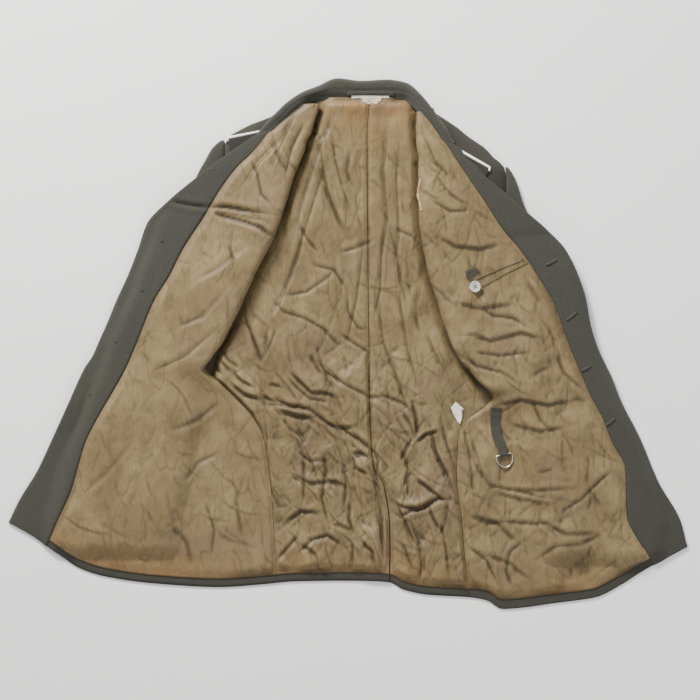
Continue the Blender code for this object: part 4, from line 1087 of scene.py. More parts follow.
def thinned(array):
    """Every third row and column, with the lines where the front changes its bend."""
    kept = {UNDER_COLUMNS, UNDER_COLUMNS + ROLL_COLUMNS, BORDER_COLUMN, array.shape[1] - 1}
    rows = sorted(set(range(0, array.shape[0], WOOL_STEP)) | {array.shape[0] - 1})
    columns = sorted(set(range(0, array.shape[1], WOOL_STEP)) | kept)
    return array[np.ix_(rows, columns)]


for side in (right, left):
    points, normals, u = front_grid[side]
    cloth(
        "wool_front_" + SIDES[side], thinned(points - normals * 0.02), thinned(normals), WOOL,
        wool_under, ["front_" + SIDES[side]],
    )

# %% [markdown]
# ## The facings
# The facing is a second layer of wool along the front edge. It swells a little beside the seam
# where the lining joins it, and its outer edge is turned and pressed thin.

# %% Facings
FACING_TOP_ROW = {right: 14, left: 16}

for side in (right, left):
    points, normals, u = front_grid[side]
    block = points[FACING_TOP_ROW[side]:, BORDER_COLUMN:].copy()
    up = normals[FACING_TOP_ROW[side]:, BORDER_COLUMN:]
    across = np.linspace(0, 1, block.shape[1])[None, :]
    block[:, 0] += (block[:, 1] - block[:, 0]) * 0.15
    swell = np.sin(np.pi * np.clip(across * 1.05, 0, 1)) ** 0.6
    waves = 0.6 + 0.4 * hills(block[..., 0], block[..., 1], 60, 71)
    lift = SEAM + FACING * 0.55 + 1.1 * swell * waves
    cloth(
        "facing_cloth_" + SIDES[side], block + up * lift[..., None], up, FACING * 0.5, wool,
        ["facing_" + SIDES[side]],
    )

# %% [markdown]
# ## The front linings
# The satin is cut larger than the wool below it, so it puffs up and creases between the seams.
# Its height above the wool is a sum: a soft loft, the folds placed by hand, the small creases
# and the net. Near every seam the height falls to nothing, which draws the seam as a groove.

# %% Front linings
LINING_ENDS = 14.0
BUTTON_AT = (197.5, 89.0)
Spot = namedtuple("Spot", "column row size strength")
RUST_SPOTS = rows_of(Spot, [
    (352, 105, 13, 0.85), (363, 109, 10, 0.5), (340, 104, 10, 0.35), (356, 112, 42, 0.34),
    (396, 110, 36, 0.36), (376, 134, 38, 0.22), (330, 108, 24, 0.25),
])


def satin_shade_and_wear(x, y, height, line_shade_and_dirt, salt):
    """Painted shade and dirt in the hollows and along the folds, darker along the neck, rust near
    the neck and the hem, and pink patches, as a colour for each point.
    """
    # Painted shade and dirt: the hollows among the creases, narrow and wide, are darkened.
    wide = blurred(height, 9) - height
    fine = blurred(height, 2) - height
    hollow_shade_and_dirt = np.clip(1.1 * fine - 0.10, 0, 0.6) + np.clip(0.12 * wide - 0.03, 0, 0.3)
    hollow_shade_and_dirt = np.clip(np.maximum(hollow_shade_and_dirt, line_shade_and_dirt), 0, 0.85)
    rust = np.zeros_like(x)
    ragged = 0.75 + 0.5 * hills(x, y, 9, 91)
    for spot in RUST_SPOTS:
        spot_x, spot_y = at_px(spot.column, spot.row)
        away = np.hypot(x - spot_x, (y - spot_y) * 1.15)
        stain = spot.strength * np.exp(-((away / (spot.size * ragged)) ** 2))
        rust = np.maximum(rust, stain)
    above_hem = y - hem_at(x)
    golden = ease((72 - above_hem) / 60) * (0.55 + 0.45 * hills(x, y, 48, 93))
    rust = np.maximum(rust, 0.34 * golden)
    hollow_shade_and_dirt = np.maximum(hollow_shade_and_dirt, 0.24 * ease((y - NECK_Y + 14) / 12))
    pink = 0.75 * ease((hills(x, y, 62, salt) + 0.35 * hills(x, y, 21, salt + 1)) * 1.2 - 0.1)
    return np.stack([hollow_shade_and_dirt, rust, pink, np.ones_like(x)], axis=2)


Look = namedtuple("Look", "hand small surface net loft small_share salt")
FRONT_LOOK = {
    right: Look(RIGHT_CREASES, RIGHT_SMALL, smooth_satin, 3.6, 3.8, 0.45, 21),
    left: Look(LEFT_CREASES, LEFT_SMALL, crumple, 5.0, 4.6, 0.7, 33),
}
satin_trees = {}


def tree_of_grid(points):
    rows, columns = points.shape[:2]
    index = np.arange(rows * columns).reshape(rows, columns)
    corners = [index[:-1, :-1], index[:-1, 1:], index[1:, 1:], index[1:, :-1]]
    quads = np.stack(corners, axis=2).reshape(-1, 4)
    places = [tuple(place) for place in points.reshape(-1, 3)]
    return BVHTree.FromPolygons(places, [tuple(quad) for quad in quads])


for side in (right, left):
    points, normals, u = front_grid[side]
    look = FRONT_LOOK[side]
    hem_rows = max(2, round(LINING_ENDS / HEM_ROW_STEP))
    block = points[:-hem_rows, :BORDER_COLUMN + 1].copy()
    block[:, 0] += (block[:, 1] - block[:, 0]) * 0.2
    up = normals[:-hem_rows, :BORDER_COLUMN + 1]
    x, y = block[..., 0], block[..., 1]
    near_border = ease(np.abs(block[:, -1:, 0] - x) / 14)
    from_hem = ease((np.arange(len(block))[::-1][:, None]) * HEM_ROW_STEP / 16)
    turned = ease(along(FRONTS[side], "heading", y) / 90)
    on_roll = ease((u[None, :BORDER_COLUMN + 1] - 0.24) / 0.12)
    by_seam = 0.3 + 0.7 * ease(np.abs(x - block[:, :1, 0]) / 8)
    mask = near_border * from_hem * (turned * on_roll + (1 - turned) * by_seam)
    line_shade_and_dirt = np.zeros_like(x)
    folds = fold_heights(x, y, look.hand, line_shade_and_dirt)
    folds = folds + look.small_share * fold_heights(x, y, look.small, line_shade_and_dirt)
    by_button = np.exp(-((np.hypot(x - BUTTON_AT[0], y - BUTTON_AT[1]) / 15) ** 2))
    lively = look.net * look.surface(x, y, look.salt) + folds
    puff = softened(look.loft + lively * (1 - 0.85 * by_button))
    height = SEAM + SATIN + np.maximum(puff, 0.15) * mask
    fabric = block + up * height[..., None]
    satin_trees[side] = tree_of_grid(fabric)
    cloth(
        "front_lining_cloth_" + SIDES[side], fabric, up, SATIN, satin,
        ["front_lining_" + SIDES[side]], satin_shade_and_wear(x, y, height, line_shade_and_dirt * mask, look.salt),
    )

# %% [markdown]
# ## The back
# The two wool halves meet at the centre seam and lap at the vent. They lie flat on the table and
# are lifted only where the collar's fall or the vent's lap is beneath them. Their lining is the
# most crumpled part of the garment, because the wearer's back has pressed it for years.


# %% The back's grid
UNDER_COLLAR = {"wool": 13.0, "lining": 6.0}
LINING_INSET = 2.2


def outer_line(side, y, spare=0.0):
    table = FRONTS[side]
    share = np.clip((y - table[0].y) / (NECK_Y - table[0].y), 0.0, 1.0)
    shoulder = table[0].start + (NECK_CORNERS[side] - table[0].start) * share
    shoulder = shoulder + spare * ease((y - table[0].y) / 5)
    return np.where(y > table[0].y, shoulder, along(table, "start", y))


def back_points(side, columns, row_step, hem_cells, layer, lap_space, hem_turn):
    inset_share = LINING_INSET if layer == "lining" else 0.0
    upper = np.linspace(NECK_Y, ROWS_END, int((NECK_Y - ROWS_END) / row_step) + 1)
    s = np.linspace(0, 1, columns)

    def across(y):
        centre = along(CENTRE, "x", y)
        lap = along(CENTRE, "lap", y)
        if side == right:
            inner = centre - SEAM + (lap + 2 * SEAM - lap_space) * ease((-190 - y) / 20)
        else:
            inner = centre + SEAM + (lap + lap_space) * ease((-186 - y) / 10) * (lap_space > 0)
        inset = inset_share * ease((y - 20) / 40)
        outer = side * (outer_line(side, y, UNDER_COLLAR[layer]) - SEAM - inset)
        return inner + (outer - inner) * s[None, :]

    hem_y = np.full((1, columns), HEM_GUESS)
    for _ in range(12):
        hem_y = hem_at(across(hem_y))
    share = np.linspace(0, 1, hem_cells + 1)[1:][:, None]
    lower = ROWS_END + (hem_y + hem_turn - ROWS_END) * share
    y = np.concatenate([np.repeat(upper[:, None], columns, axis=1), lower])
    x = across(y)
    lift = COLLAR_BED * ease((y - 352) / 20) * ease((NECK_CORNERS[side] - 5 - side * x) / 16)
    if side == right:
        over_lap = ease((x - along(CENTRE, "x", y) + 34) / 24)
        lift = lift + (WOOL + SEAM) * over_lap * ease((VENT_TOP_Y - y) / 40)
    return np.stack([x, y, WOOL + lift], axis=2)


def fold_line(side, y):
    table = FRONTS[side]
    roll = along(table, "start", y) - along(table, "under", y) - along(table, "roll", y)
    turned = ease(along(table, "heading", y) / 90)
    return roll * turned + (outer_line(side, y) + 20) * (1 - turned)


for side in (right, left):
    points = back_points(side, 48, 5.6, 44, "wool", 0.0, 0.0)
    cloth(
        "wool_back_" + SIDES[side], points, upward(points), WOOL, wool_under,
        ["back_" + SIDES[side]],
    )

# %% [markdown]
# ## The back lining
# The same sum of loft, folds, small creases and net as on the fronts, but stronger. It goes to
# nothing beneath the rolled fronts, at the side seams, at the neck and along the centre seam,
# where the two halves are stitched down in a line that the picture shows from neck to vent.

# %% Back linings
BACK_NET = 7.4
BACK_LOFT = 6.0
SHADE_REACH = {right: 12.0, left: 22.0}
BACK_ROW = 2.35
for side in (right, left):
    flat = back_points(side, 140, BACK_ROW, 104, "lining", 0.8, 13.0)
    x, y = flat[..., 0], flat[..., 1]
    open_to = fold_line(side, y)
    under_roll = ease((open_to - 3 - side * x) / 14)
    side_seam = 0.3 + 0.7 * ease((outer_line(side, y) - side * x) / 8)
    heading = along(FRONTS[side], "heading", y)
    reach = np.where(heading > 60, under_roll, np.minimum(under_roll, side_seam))
    from_centre = np.abs(x - flat[:, :1, 0])
    in_vent = ease((VENT_TOP_Y - 60 - y) / 40)
    centre_seam = 0.45 + 0.55 * ease(from_centre / 7)
    centre_seam = centre_seam * (1 - 0.9 * in_vent * (1 - ease(from_centre / 8)))
    neck = ease((NECK_Y - 1 - y) / 14)
    from_hem = ease((np.arange(len(flat))[::-1][:, None]) * BACK_ROW / 16)
    mask = reach * centre_seam * neck * from_hem
    line_shade_and_dirt = np.zeros_like(x)
    folds = fold_heights(x, y, BACK_CREASES, line_shade_and_dirt)
    folds = folds + 0.6 * fold_heights(x, y, BACK_SMALL, line_shade_and_dirt)
    lively = 0.65 + 0.35 * ease((20 - y) / 160)
    puff = softened(BACK_LOFT + BACK_NET * lively * crumple(x, y, 3) + folds * lively)
    height = SEAM + SATIN + np.maximum(puff, 0.15) * mask
    fabric = flat + UP * height[..., None]
    satin_trees["back", side] = tree_of_grid(fabric)
    shade_and_wear = satin_shade_and_wear(x, y, height, line_shade_and_dirt * mask, 57)
    # Painted shadow: the satin beside each rolled front is darkened, sharply at the fold and softly
    # farther out, as the shade that the roll casts.
    off_roll = np.maximum(open_to - side * x, 0.0)
    ragged = 0.75 + 0.35 * hills(x, y, 22, 8)
    soft_shade = 0.18 * ragged * np.exp(-off_roll / (SHADE_REACH[side] * ragged))
    roll_shadow = 0.55 * np.exp(-((off_roll / 3.6) ** 2)) + soft_shade
    shade_and_wear[..., 0] = np.clip(shade_and_wear[..., 0] + roll_shadow, 0, 0.88)
    cloth(
        "back_lining_cloth_" + SIDES[side], fabric, upward(fabric), SATIN, satin,
        ["back_lining_" + SIDES[side]], shade_and_wear,
    )

# %% [markdown]
# ## The collar
# Only the stand and the roll of the collar show. The rest, the fall, is folded beneath. A crease
# runs round the neck just outside the seam, where the stand was pressed.


# %% Collar
SEAM_ALLOWANCE = 0.12
COLLAR_WALL = 2.2


def collar_points(s, t, sunk):
    at = s * (len(COLLAR) - 1)
    seam = np.stack([along(COLLAR, "seam_x", at), along(COLLAR, "seam_y", at)], axis=-1)
    roll = np.stack([along(COLLAR, "roll_x", at), along(COLLAR, "roll_y", at)], axis=-1)
    width = np.linalg.norm(roll - seam, axis=-1)
    outward = (roll - seam) / width[..., None]
    tucked = ease((0.08 - s) / 0.08) + ease((s - 0.92) / 0.08)
    onward = np.stack([-outward[..., 1], outward[..., 0]], axis=-1) * np.sign(0.5 - s)[..., None]
    seam = seam + onward * (9.0 * tucked)[..., None]
    seam_height = along(COLLAR, "seam_height", at)
    top = along(COLLAR, "top", at) - 3.0 * tucked
    low = along(COLLAR, "fall_height", at)
    fall = along(COLLAR, "fall", at) * (1 - 0.5 * tucked)
    half = (top - low) / 2 - sunk
    share = np.clip(t / 0.4, 0, 1)
    under_seam = np.clip(-t / SEAM_ALLOWANCE, 0, 1)
    stand_away = share * (width - half - sunk) - 7.0 * under_seam
    drop = np.minimum(4.5, seam_height - 3.4) * under_seam
    stand_height = seam_height + (top - seam_height) * np.sin(share * math.pi / 2) - sunk - drop
    angle = math.pi / 2 - math.pi * np.clip((t - 0.4) / 0.3, 0, 1)
    roll_away = width - half - sunk + half * np.cos(angle)
    roll_height = (top + low) / 2 + half * np.sin(angle)
    fall_away = width - half - sunk - (fall - half) * np.clip((t - 0.7) / 0.3, 0, 1)
    away = np.where(t < 0.4, stand_away, np.where(t < 0.7, roll_away, fall_away))
    height = np.where(t < 0.4, stand_height, np.where(t < 0.7, roll_height, low + sunk))
    place = seam + outward * away[..., None]
    return np.concatenate([place, height[..., None]], axis=-1)


s, t = np.meshgrid(np.linspace(0, 1, 160), np.linspace(-SEAM_ALLOWANCE, 1, 48))
outer = collar_points(s, t, 0.0)
x, y = outer[..., 0], outer[..., 1]
crease = np.exp(-(((t - 0.2) / 0.05) ** 2)) * (0.7 + 0.5 * hills(s * 300, t * 40, 40, 5))
ripple = (hills(x, y, 26, 12) * 0.5 + 0.3 * hills(x, y, 9, 13)) * (t < 0.5)
outer[..., 2] += ripple * ease(t / 0.1) - 1.1 * crease * ease((0.5 - t) / 0.1)
collar_up = outer - collar_points(s, t, COLLAR_WALL)
collar_up /= np.linalg.norm(collar_up, axis=2, keepdims=True)
cloth(
    "collar_cloth", outer, collar_up, COLLAR_WALL, wool, ["collar"],
)
collar_tree = tree_of_grid(outer)

# %% [markdown]
# ## The sleeves
# Each sleeve is a tube of cloth, pressed flat beneath its front, with its head peeping out at
# the shoulder. The grid is bent round into a tube and its two long sides are welded.

# %% Sleeves
SLEEVE_AROUND = 44
SLEEVE_ROWS = 120
WELD_MM = 0.02


def sleeve_points(side):
    table = SLEEVES[side]
    y = np.linspace(table[0].y, table[-1].y, SLEEVE_ROWS)[:, None]
    angle = np.linspace(0, 2 * math.pi, SLEEVE_AROUND + 1)[None, :]
    inner = along(table, "inner", y)
    outer = along(table, "outer", y)
    height = along(table, "height", y)
    wide = np.sign(np.cos(angle)) * np.abs(np.cos(angle)) ** 0.6
    tall = np.sign(np.sin(angle)) * np.abs(np.sin(angle)) ** 0.8
    x = side * ((inner + outer) / 2 + (outer - inner) / 2 * wide)
    y = y + 0 * x
    z = height / 2 + height / 2 * tall
    dent = 0.9 * hills(x, y, 38, 77) + 0.6 * np.abs(hills(x + z * 6, y, 17, 78))
    z = z - np.maximum(dent, 0) * ease((z - height / 2) / 3)
    return np.stack([x, y, np.maximum(z, 0.05)], axis=2)


def tidied(bm, distance):
    """Join doubled corners first, then turn every face outward."""
    bmesh.ops.remove_doubles(bm, verts=bm.verts, dist=distance)
    bmesh.ops.recalc_face_normals(bm, faces=bm.faces)


for side in (right, left):
    tube = sleeve_points(side)
    outward = tube - tube.mean(axis=1, keepdims=True)
    outward /= np.maximum(np.linalg.norm(outward, axis=2, keepdims=True), 1e-6)
    piece = cloth(
        "sleeve_cloth_" + SIDES[side], tube, outward, 1.8, wool,
        ["sleeve_" + SIDES[side]],
    )
    bm = bmesh.new()
    bm.from_mesh(piece.data)
    tidied(bm, WELD_MM * MM)
    bm.to_mesh(piece.data)
    bm.free()

# %% [markdown]
# ## The lapels
# The lapels are folded back beneath the fronts, so only someone who lifts the edge sees them.
# Each is a plain double layer that narrows to its lower end.

# %% Lapels
LAPEL_SPANS = {right: (319.0, 216.0), left: (303.0, 194.0)}
for side in (right, left):
    top_y, low_y = LAPEL_SPANS[side]
    t = np.linspace(0, 1, 40)[:, None]
    s = np.linspace(0, 1, 16)[None, :]
    y = top_y + (low_y - top_y) * t
    edge, _ = section(side, y, 1.0 + 0 * y)
    crest, crest_height = section(side, y, ROLL_TO + 0 * y)
    width = 52 * (0.55 + 0.45 * ease(t / 0.25)) * (1 - t**1.5) + 8
    width = np.minimum(width, edge - crest - 16)
    at = edge - 1 - width * (1 - s)
    y = y + 0 * at
    z = flap_height(side, y, crest + 0 * at, crest_height + 0 * at, at) - WOOL - 0.9
    grid = np.stack([side * at, y, z], axis=2)
    cloth(
        "lapel_cloth_" + SIDES[side], grid, upward(grid), 3.0, wool,
        ["lapel_" + SIDES[side]],
    )

# %% [markdown]
# ## Small pieces on the cloth
# Labels, tags and the pocket tab are cut from an outline. The outline is filled, cut finer and laid
# on the cloth beneath it, so that each follows the creases it rests on.

# %% Outlined pieces
def object_from(bm, name):
    mesh = bpy.data.meshes.new(name)
    bm.to_mesh(mesh)
    bm.free()
    return object_of(mesh, name)


def height_on(trees, x, y):
    """The highest of the surfaces at this place, or None beside them all."""
    hits = [tree.ray_cast(Vector((x, y, 200)), Vector((0, 0, -1)))[0] for tree in trees]
    return max((hit.z for hit in hits if hit is not None), default=None)


def patch(name, corners, trees, wall, finish, replaced, lift=0.4, curl=0.0):
    bm = bmesh.new()
    verts = [bm.verts.new((x, y, 0)) for x, y in corners]
    bmesh.ops.contextual_create(bm, geom=verts)
    bmesh.ops.triangulate(bm, faces=bm.faces)
    for _ in range(3):
        bmesh.ops.subdivide_edges(bm, edges=bm.edges, cuts=1, use_grid_fill=True)
    heights = [height_on(trees, v.co.x, v.co.y) for v in bm.verts]
    level = max(h for h in heights if h is not None)
    middle = Vector([sum(c[k] for c in corners) / len(corners) for k in (0, 1)])
    for vert, height in zip(bm.verts, heights):
        away = (vert.co.xy - middle).length
        here = level if height is None else height
        vert.co.z = here * 0.75 + level * 0.25 + lift + wall + curl * away * away
    bmesh.ops.recalc_face_normals(bm, faces=bm.faces)
    if sum(face.normal.z for face in bm.faces) < 0:
        bmesh.ops.reverse_faces(bm, faces=bm.faces)
    area = sum(face.calc_area() for face in bm.faces)
    bmesh.ops.scale(bm, verts=bm.verts, vec=(MM, MM, MM))
    for face in bm.faces:
        face.smooth = True
    piece = object_from(bm, name)
    with_wall(piece, wall)
    finished(piece, finish, replaced)
    width, length = [max(c[k] for c in corners) - min(c[k] for c in corners) for k in (0, 1)]
    state_cut(width, length, area)

# %% [markdown]
# ## Labels, tags and the hanger tab
# The neck has a woven hanger tab and what is left of a white label. A torn white tag lies on the
# back lining by the side seam. All are bare: the lettering is left out.

# %% Labels and tabs
backs = [satin_trees["back", right], satin_trees["back", left]]
chest = [satin_trees[left]]
LABEL = [
    (5, 387.6), (30, 388), (64, 387.4), (64.5, 384), (40, 384.6), (20, 384.2), (6, 383.4),
]
TORN_LABEL = [
    (20, 383.6), (53, 383.8), (51, 378.5), (48.5, 376), (46, 377.2), (42, 374.2), (38.5, 376),
    (35, 373.6), (31, 376.2), (27, 374.6), (23.5, 377.4),
]
SIZE_TAG = [
    (168, -90.5), (180.7, -101.4), (177.8, -104.5), (178.5, -112.3), (174.7, -124.8),
    (172.8, -123.2), (166, -113), (160.7, -99.8),
]
POCKET_TAB = [(182.5, 113.3), (199.7, 119.2), (204.4, 114.2), (187.2, 98.3), (183.5, 104)]
patch("neck_label_cloth", LABEL, backs + [collar_tree], 0.5, white_cloth, ["neck_label"])
patch("neck_label_torn", TORN_LABEL, backs, 0.4, torn_cloth, None, lift=0.2)
patch("size_tag_cloth", SIZE_TAG, backs[1:], 0.5, white_cloth, ["size_tag"], lift=0.7, curl=0.004)
patch("pocket_tab_cloth", POCKET_TAB, chest, 0.9, wool, ["pocket_tab"], lift=0.5)


# %% [markdown]
# ## Tubes
# Piping, wire, thread and tape are all a round line: a curve with a bevel, closed at its ends,
# turned into a mesh so that it can ride on the garment as any other piece does.


# %% Tubes
def rod(name, line_mm, diameter, finish, replaced=None, body="jacket", cyclic=False):
    curve = bpy.data.curves.new(name + "_line", "CURVE")
    curve.dimensions = "3D"
    curve.bevel_depth = diameter / 2 * MM
    curve.bevel_resolution = 4
    curve.use_fill_caps = True
    line = curve.splines.new("POLY")
    line.points.add(len(line_mm) - 1)
    for point, place in zip(line.points, line_mm):
        point.co = (place[0] * MM, place[1] * MM, place[2] * MM, 1)
    line.use_cyclic_u = cyclic
    drawn = object_of(curve, name + "_line")
    bpy.context.view_layer.update()
    depsgraph = bpy.context.evaluated_depsgraph_get()
    mesh = bpy.data.meshes.new_from_object(drawn.evaluated_get(depsgraph))
    mesh.name = name
    bpy.data.objects.remove(drawn)
    bpy.data.curves.remove(curve)
    bm = bmesh.new()
    bm.from_mesh(mesh)
    tidied(bm, 0.00001)
    for face in bm.faces:
        face.smooth = True
    bpy.data.meshes.remove(mesh)
    return finished(object_from(bm, name), finish, replaced, body)


def rounded_path(corners, radius, steps=5):
    """The corners of a line replaced by short curves."""
    path = [Vector(corners[0])]
    for before, at, after in zip(corners, corners[1:], corners[2:]):
        before, at, after = Vector(before), Vector(at), Vector(after)
        back = at + (before - at).normalized() * min(radius, (before - at).length / 2)
        ahead = at + (after - at).normalized() * min(radius, (after - at).length / 2)
        for k in range(steps + 1):
            t = k / steps
            path.append(back.lerp(at, t).lerp(at.lerp(ahead, t), t))
    path.append(Vector(corners[-1]))
    return path


# %% [markdown]
# ## Shoulder boards and piping
# The boards are stiff, covered in dark cloth, with a white piping round them. Only a corner and
# the rear piping show between the folded front and the sleeve head.

# %% Boards
BOARD_LOW = 8.1
BOARD_THICK = 3.0
BOARD_LENGTH = 88.0
PIPING = 4.0


def board(side, armhole_end, direction):
    name = SIDES[side]
    inward = Vector(direction).normalized()
    across = Vector((inward.y, -inward.x))
    if across.y > 0:
        across = -across
    base = Vector(armhole_end) + across * 3.4
    neck = base + inward * BOARD_LENGTH
    corners = [
        base, neck, neck + inward * 10 + across * 11.4, neck + inward * 10 + across * 26.6,
        neck + across * 38, base + across * 46,
    ]
    bm = bmesh.new()
    verts = [bm.verts.new((c.x, c.y, BOARD_LOW)) for c in corners]
    bottom = bmesh.ops.contextual_create(bm, geom=verts)["faces"]
    grown = bmesh.ops.extrude_face_region(bm, geom=bottom, use_keep_orig=True)
    top = [item for item in grown["geom"] if isinstance(item, bmesh.types.BMVert)]
    bmesh.ops.translate(bm, verts=top, vec=(0, 0, BOARD_THICK))
    bmesh.ops.recalc_face_normals(bm, faces=bm.faces)
    bmesh.ops.bevel(
        bm, geom=bm.edges[:], offset=0.9, affect="EDGES", segments=3, profile=0.5, material=-1,
    )
    bmesh.ops.scale(bm, verts=bm.verts, vec=(MM, MM, MM))
    finished(object_from(bm, "board_cloth_" + name), board_finish, ["shoulder_board_" + name])
    start = Vector(armhole_end) + across * 1.5 + inward
    stop = start + inward * (BOARD_LENGTH - 2)
    turned_end = start + across * 5.5 - inward * 1.2
    line = [(p.x, p.y, BOARD_LOW + 1.6) for p in (turned_end, start, stop)]
    path = rounded_path(line, 2.4)
    rod("piping_cord_" + name, path, PIPING, piping_cloth, ["board_piping_" + name])


board(right, (-189, 323), (47, 9))
board(left, (223, 276), (-44, 25))

# %% [markdown]
# ## Pocket, welt and button
# The inner breast pocket is a slit between two narrow welts of satin. Its button is turned from
# grey resin, with a rim. A spun profile makes the button in one step. Its four thread holes are
# not cut: flat dark discs on its face are painted shade of the holes, with the thread in them.


# %% Turned pieces
def turned(name, profile, centre, finish, replaced, steps):
    bm = bmesh.new()
    verts = [bm.verts.new((r, 0, h)) for r, h in profile]
    edges = [bm.edges.new(pair) for pair in zip(verts, verts[1:])]
    bmesh.ops.spin(
        bm, geom=verts + edges, cent=(0, 0, 0), axis=(0, 0, 1), angle=2 * math.pi, steps=steps,
        use_merge=True,
    )
    tidied(bm, 0.001)
    bmesh.ops.translate(bm, verts=bm.verts, vec=centre)
    bmesh.ops.scale(bm, verts=bm.verts, vec=(MM, MM, MM))
    for face in bm.faces:
        face.smooth = True
    return finished(object_from(bm, name), finish, replaced)


BUTTON = [
    (0, 0), (6.2, 0), (8.3, 0.8), (8.8, 1.7), (8.6, 2.6), (8.0, 3.0), (7.3, 2.9), (6.4, 2.2),
    (5.2, 1.9), (0, 1.8),
]
EYE = [(0, 0), (1.3, 0), (1.3, 0.42), (0.9, 0.5), (0, 0.5)]


def by_button(reach, angle):
    return BUTTON_AT[0] + reach * math.cos(angle), BUTTON_AT[1] + reach * math.sin(angle)


beneath = [by_button(8, angle) for angle in np.linspace(0, 6.28, 9)] + [BUTTON_AT]
button_low = max(height_on(chest, *spot) for spot in beneath) + 0.2
turned("pocket_button_turned", BUTTON, (*BUTTON_AT, button_low), resin, ["pocket_button"], 48)
# Flat dark discs on the button's face: painted shade of the four thread holes, with the thread in
# them.
for k in range(4):
    spot = by_button(2.3, math.pi / 4 + k * math.pi / 2 + 0.2)
    turned("button_eye_" + str(k + 1), EYE, (*spot, button_low + 1.6), thread, None, 16)

# %% [markdown]
# ## Welts
# Each welt is a narrow folded strip: it is thick and round across, and follows the cloth.


# %% Strips
def smooth_path(line, count, rounds):
    """Points at even steps along a line, with its corners smoothed away."""
    path = np.array(line, float)
    steps = np.linalg.norm(np.diff(path, axis=0), axis=1)
    lengths = np.concatenate([[0], np.cumsum(steps)])
    at = np.linspace(0, lengths[-1], count)
    x = np.interp(at, lengths, path[:, 0])
    y = np.interp(at, lengths, path[:, 1])
    for _ in range(rounds):
        x[1:-1] = (x[:-2] + 2 * x[1:-1] + x[2:]) / 4
        y[1:-1] = (y[:-2] + 2 * y[1:-1] + y[2:]) / 4
    return x, y


def strip(name, line, width, wall, trees, finish, replaced, lift, crown, across=7):
    """A folded strip along a line, laid on the cloth below and crowned across."""
    x, y = smooth_path(line, 61, 3)
    dx, dy = np.gradient(x), np.gradient(y)
    size = np.hypot(dx, dy)
    over = np.linspace(-0.5, 0.5, across + 1)
    grid = np.zeros((across + 1, len(x), 3))
    for j, share in enumerate(over):
        gx = x - dy / size * width * share
        gy = y + dx / size * width * share
        grid[j, :, 0], grid[j, :, 1] = gx, gy
        grid[j, :, 2] = [height_on(trees, a, b) or 0 for a, b in zip(gx, gy)]
    grid[..., 2] = 0.5 * grid[..., 2] + 0.5 * grid[..., 2].max(axis=0)
    z = grid[..., 2]
    for _ in range(4):
        z[:, 1:-1] = np.maximum(z[:, 1:-1], (z[:, :-2] + z[:, 2:]) / 2)
    grid[..., 2] = z + lift + wall + crown * np.cos(np.pi * over)[:, None]
    rows = grid.transpose(1, 0, 2)
    evenly_darker = np.zeros(rows.shape[:2] + (4,))
    # The strip's satin is made evenly darker by a fixed share in the first colour channel.
    evenly_darker[..., 0] = 0.3
    cloth(name, rows, upward(rows), wall, finish, replaced, evenly_darker)


WELT_UPPER = [(273, 132.1), (236, 117), (200.5, 101.4)]
WELT_LOWER = [(280, 127), (244, 109.5), (208.4, 89.4)]
TAPE = [(113.2, 257.4), (109.5, 244), (108.2, 232), (111.5, 219), (113.8, 207)]
strip("pocket_welt_cloth", WELT_UPPER, 3.6, 0.8, chest, satin, ["pocket_welt"], 0.05, 0.4)
strip("pocket_welt_lower", WELT_LOWER, 3.2, 0.8, chest, satin, [], 0.05, 0.3)
strip("armhole_tape", TAPE, 2.6, 0.5, chest + backs, cream_cloth, [], 0.9, 0.2, across=4)

# %% [markdown]
# ## Collar band pieces
# The hanger tab is a folded strip of wool across the back of the neck.

# %% Hanger tab
TAB = [(-2, 390.5), (18, 391.5), (40, 392), (62, 391.5), (72, 390.5)]
strip("hanger_tab_cloth", TAB, 6.6, 0.9, [collar_tree], wool, ["hanger_tab"], 0.2, 0.4)

# %% [markdown]
# ## Strap and ring
# A wool strap comes out of the lining above the pocket bag and ends in an eye round the bar of a
# steel ring. The ring swings on its bar, so it rides on its own body.

# %% Strap and ring
RING_AT = Vector((243.0, -172.5))
RING_TILT = math.radians(13.0)
RING_HEIGHT = 8.78
RING_WIRE = 2.4
bar_way = Vector((math.cos(RING_TILT), math.sin(RING_TILT)))
hang_way = Vector((math.sin(RING_TILT), -math.cos(RING_TILT)))


def ring_point(a, b):
    place = RING_AT + bar_way * a + hang_way * b
    return (place.x, place.y, RING_HEIGHT)


SIDE_BEND = np.linspace(0.25, 1.57, 6)
ring_line = [ring_point(a, 0) for a in np.linspace(-10, 10, 9)]
ring_line += [ring_point(10 + 3 * math.sin(k), 3 - 3 * math.cos(k)) for k in SIDE_BEND]
for k in np.linspace(0.08, math.pi - 0.08, 34):
    ring_line.append(ring_point(13 * math.cos(k), 3 + 17 * math.sin(k)))
ring_line += [ring_point(-10 - 3 * math.sin(k), 3 - 3 * math.cos(k)) for k in SIDE_BEND[::-1]]
rod("ring_wire", ring_line, RING_WIRE, steel, ["d_ring"], body="ring", cyclic=True)

STRAP_LINE = [
    (231, -99), (230.2, -110), (229.6, -122), (230.6, -134), (233.4, -146), (238.4, -157),
    (241.6, -164.5),
]
STRAP_WALL = 1.5
STRAP_POINTS = 40
STRAP_ACROSS = 13


def eased(value):
    return float(ease(np.array(value)))


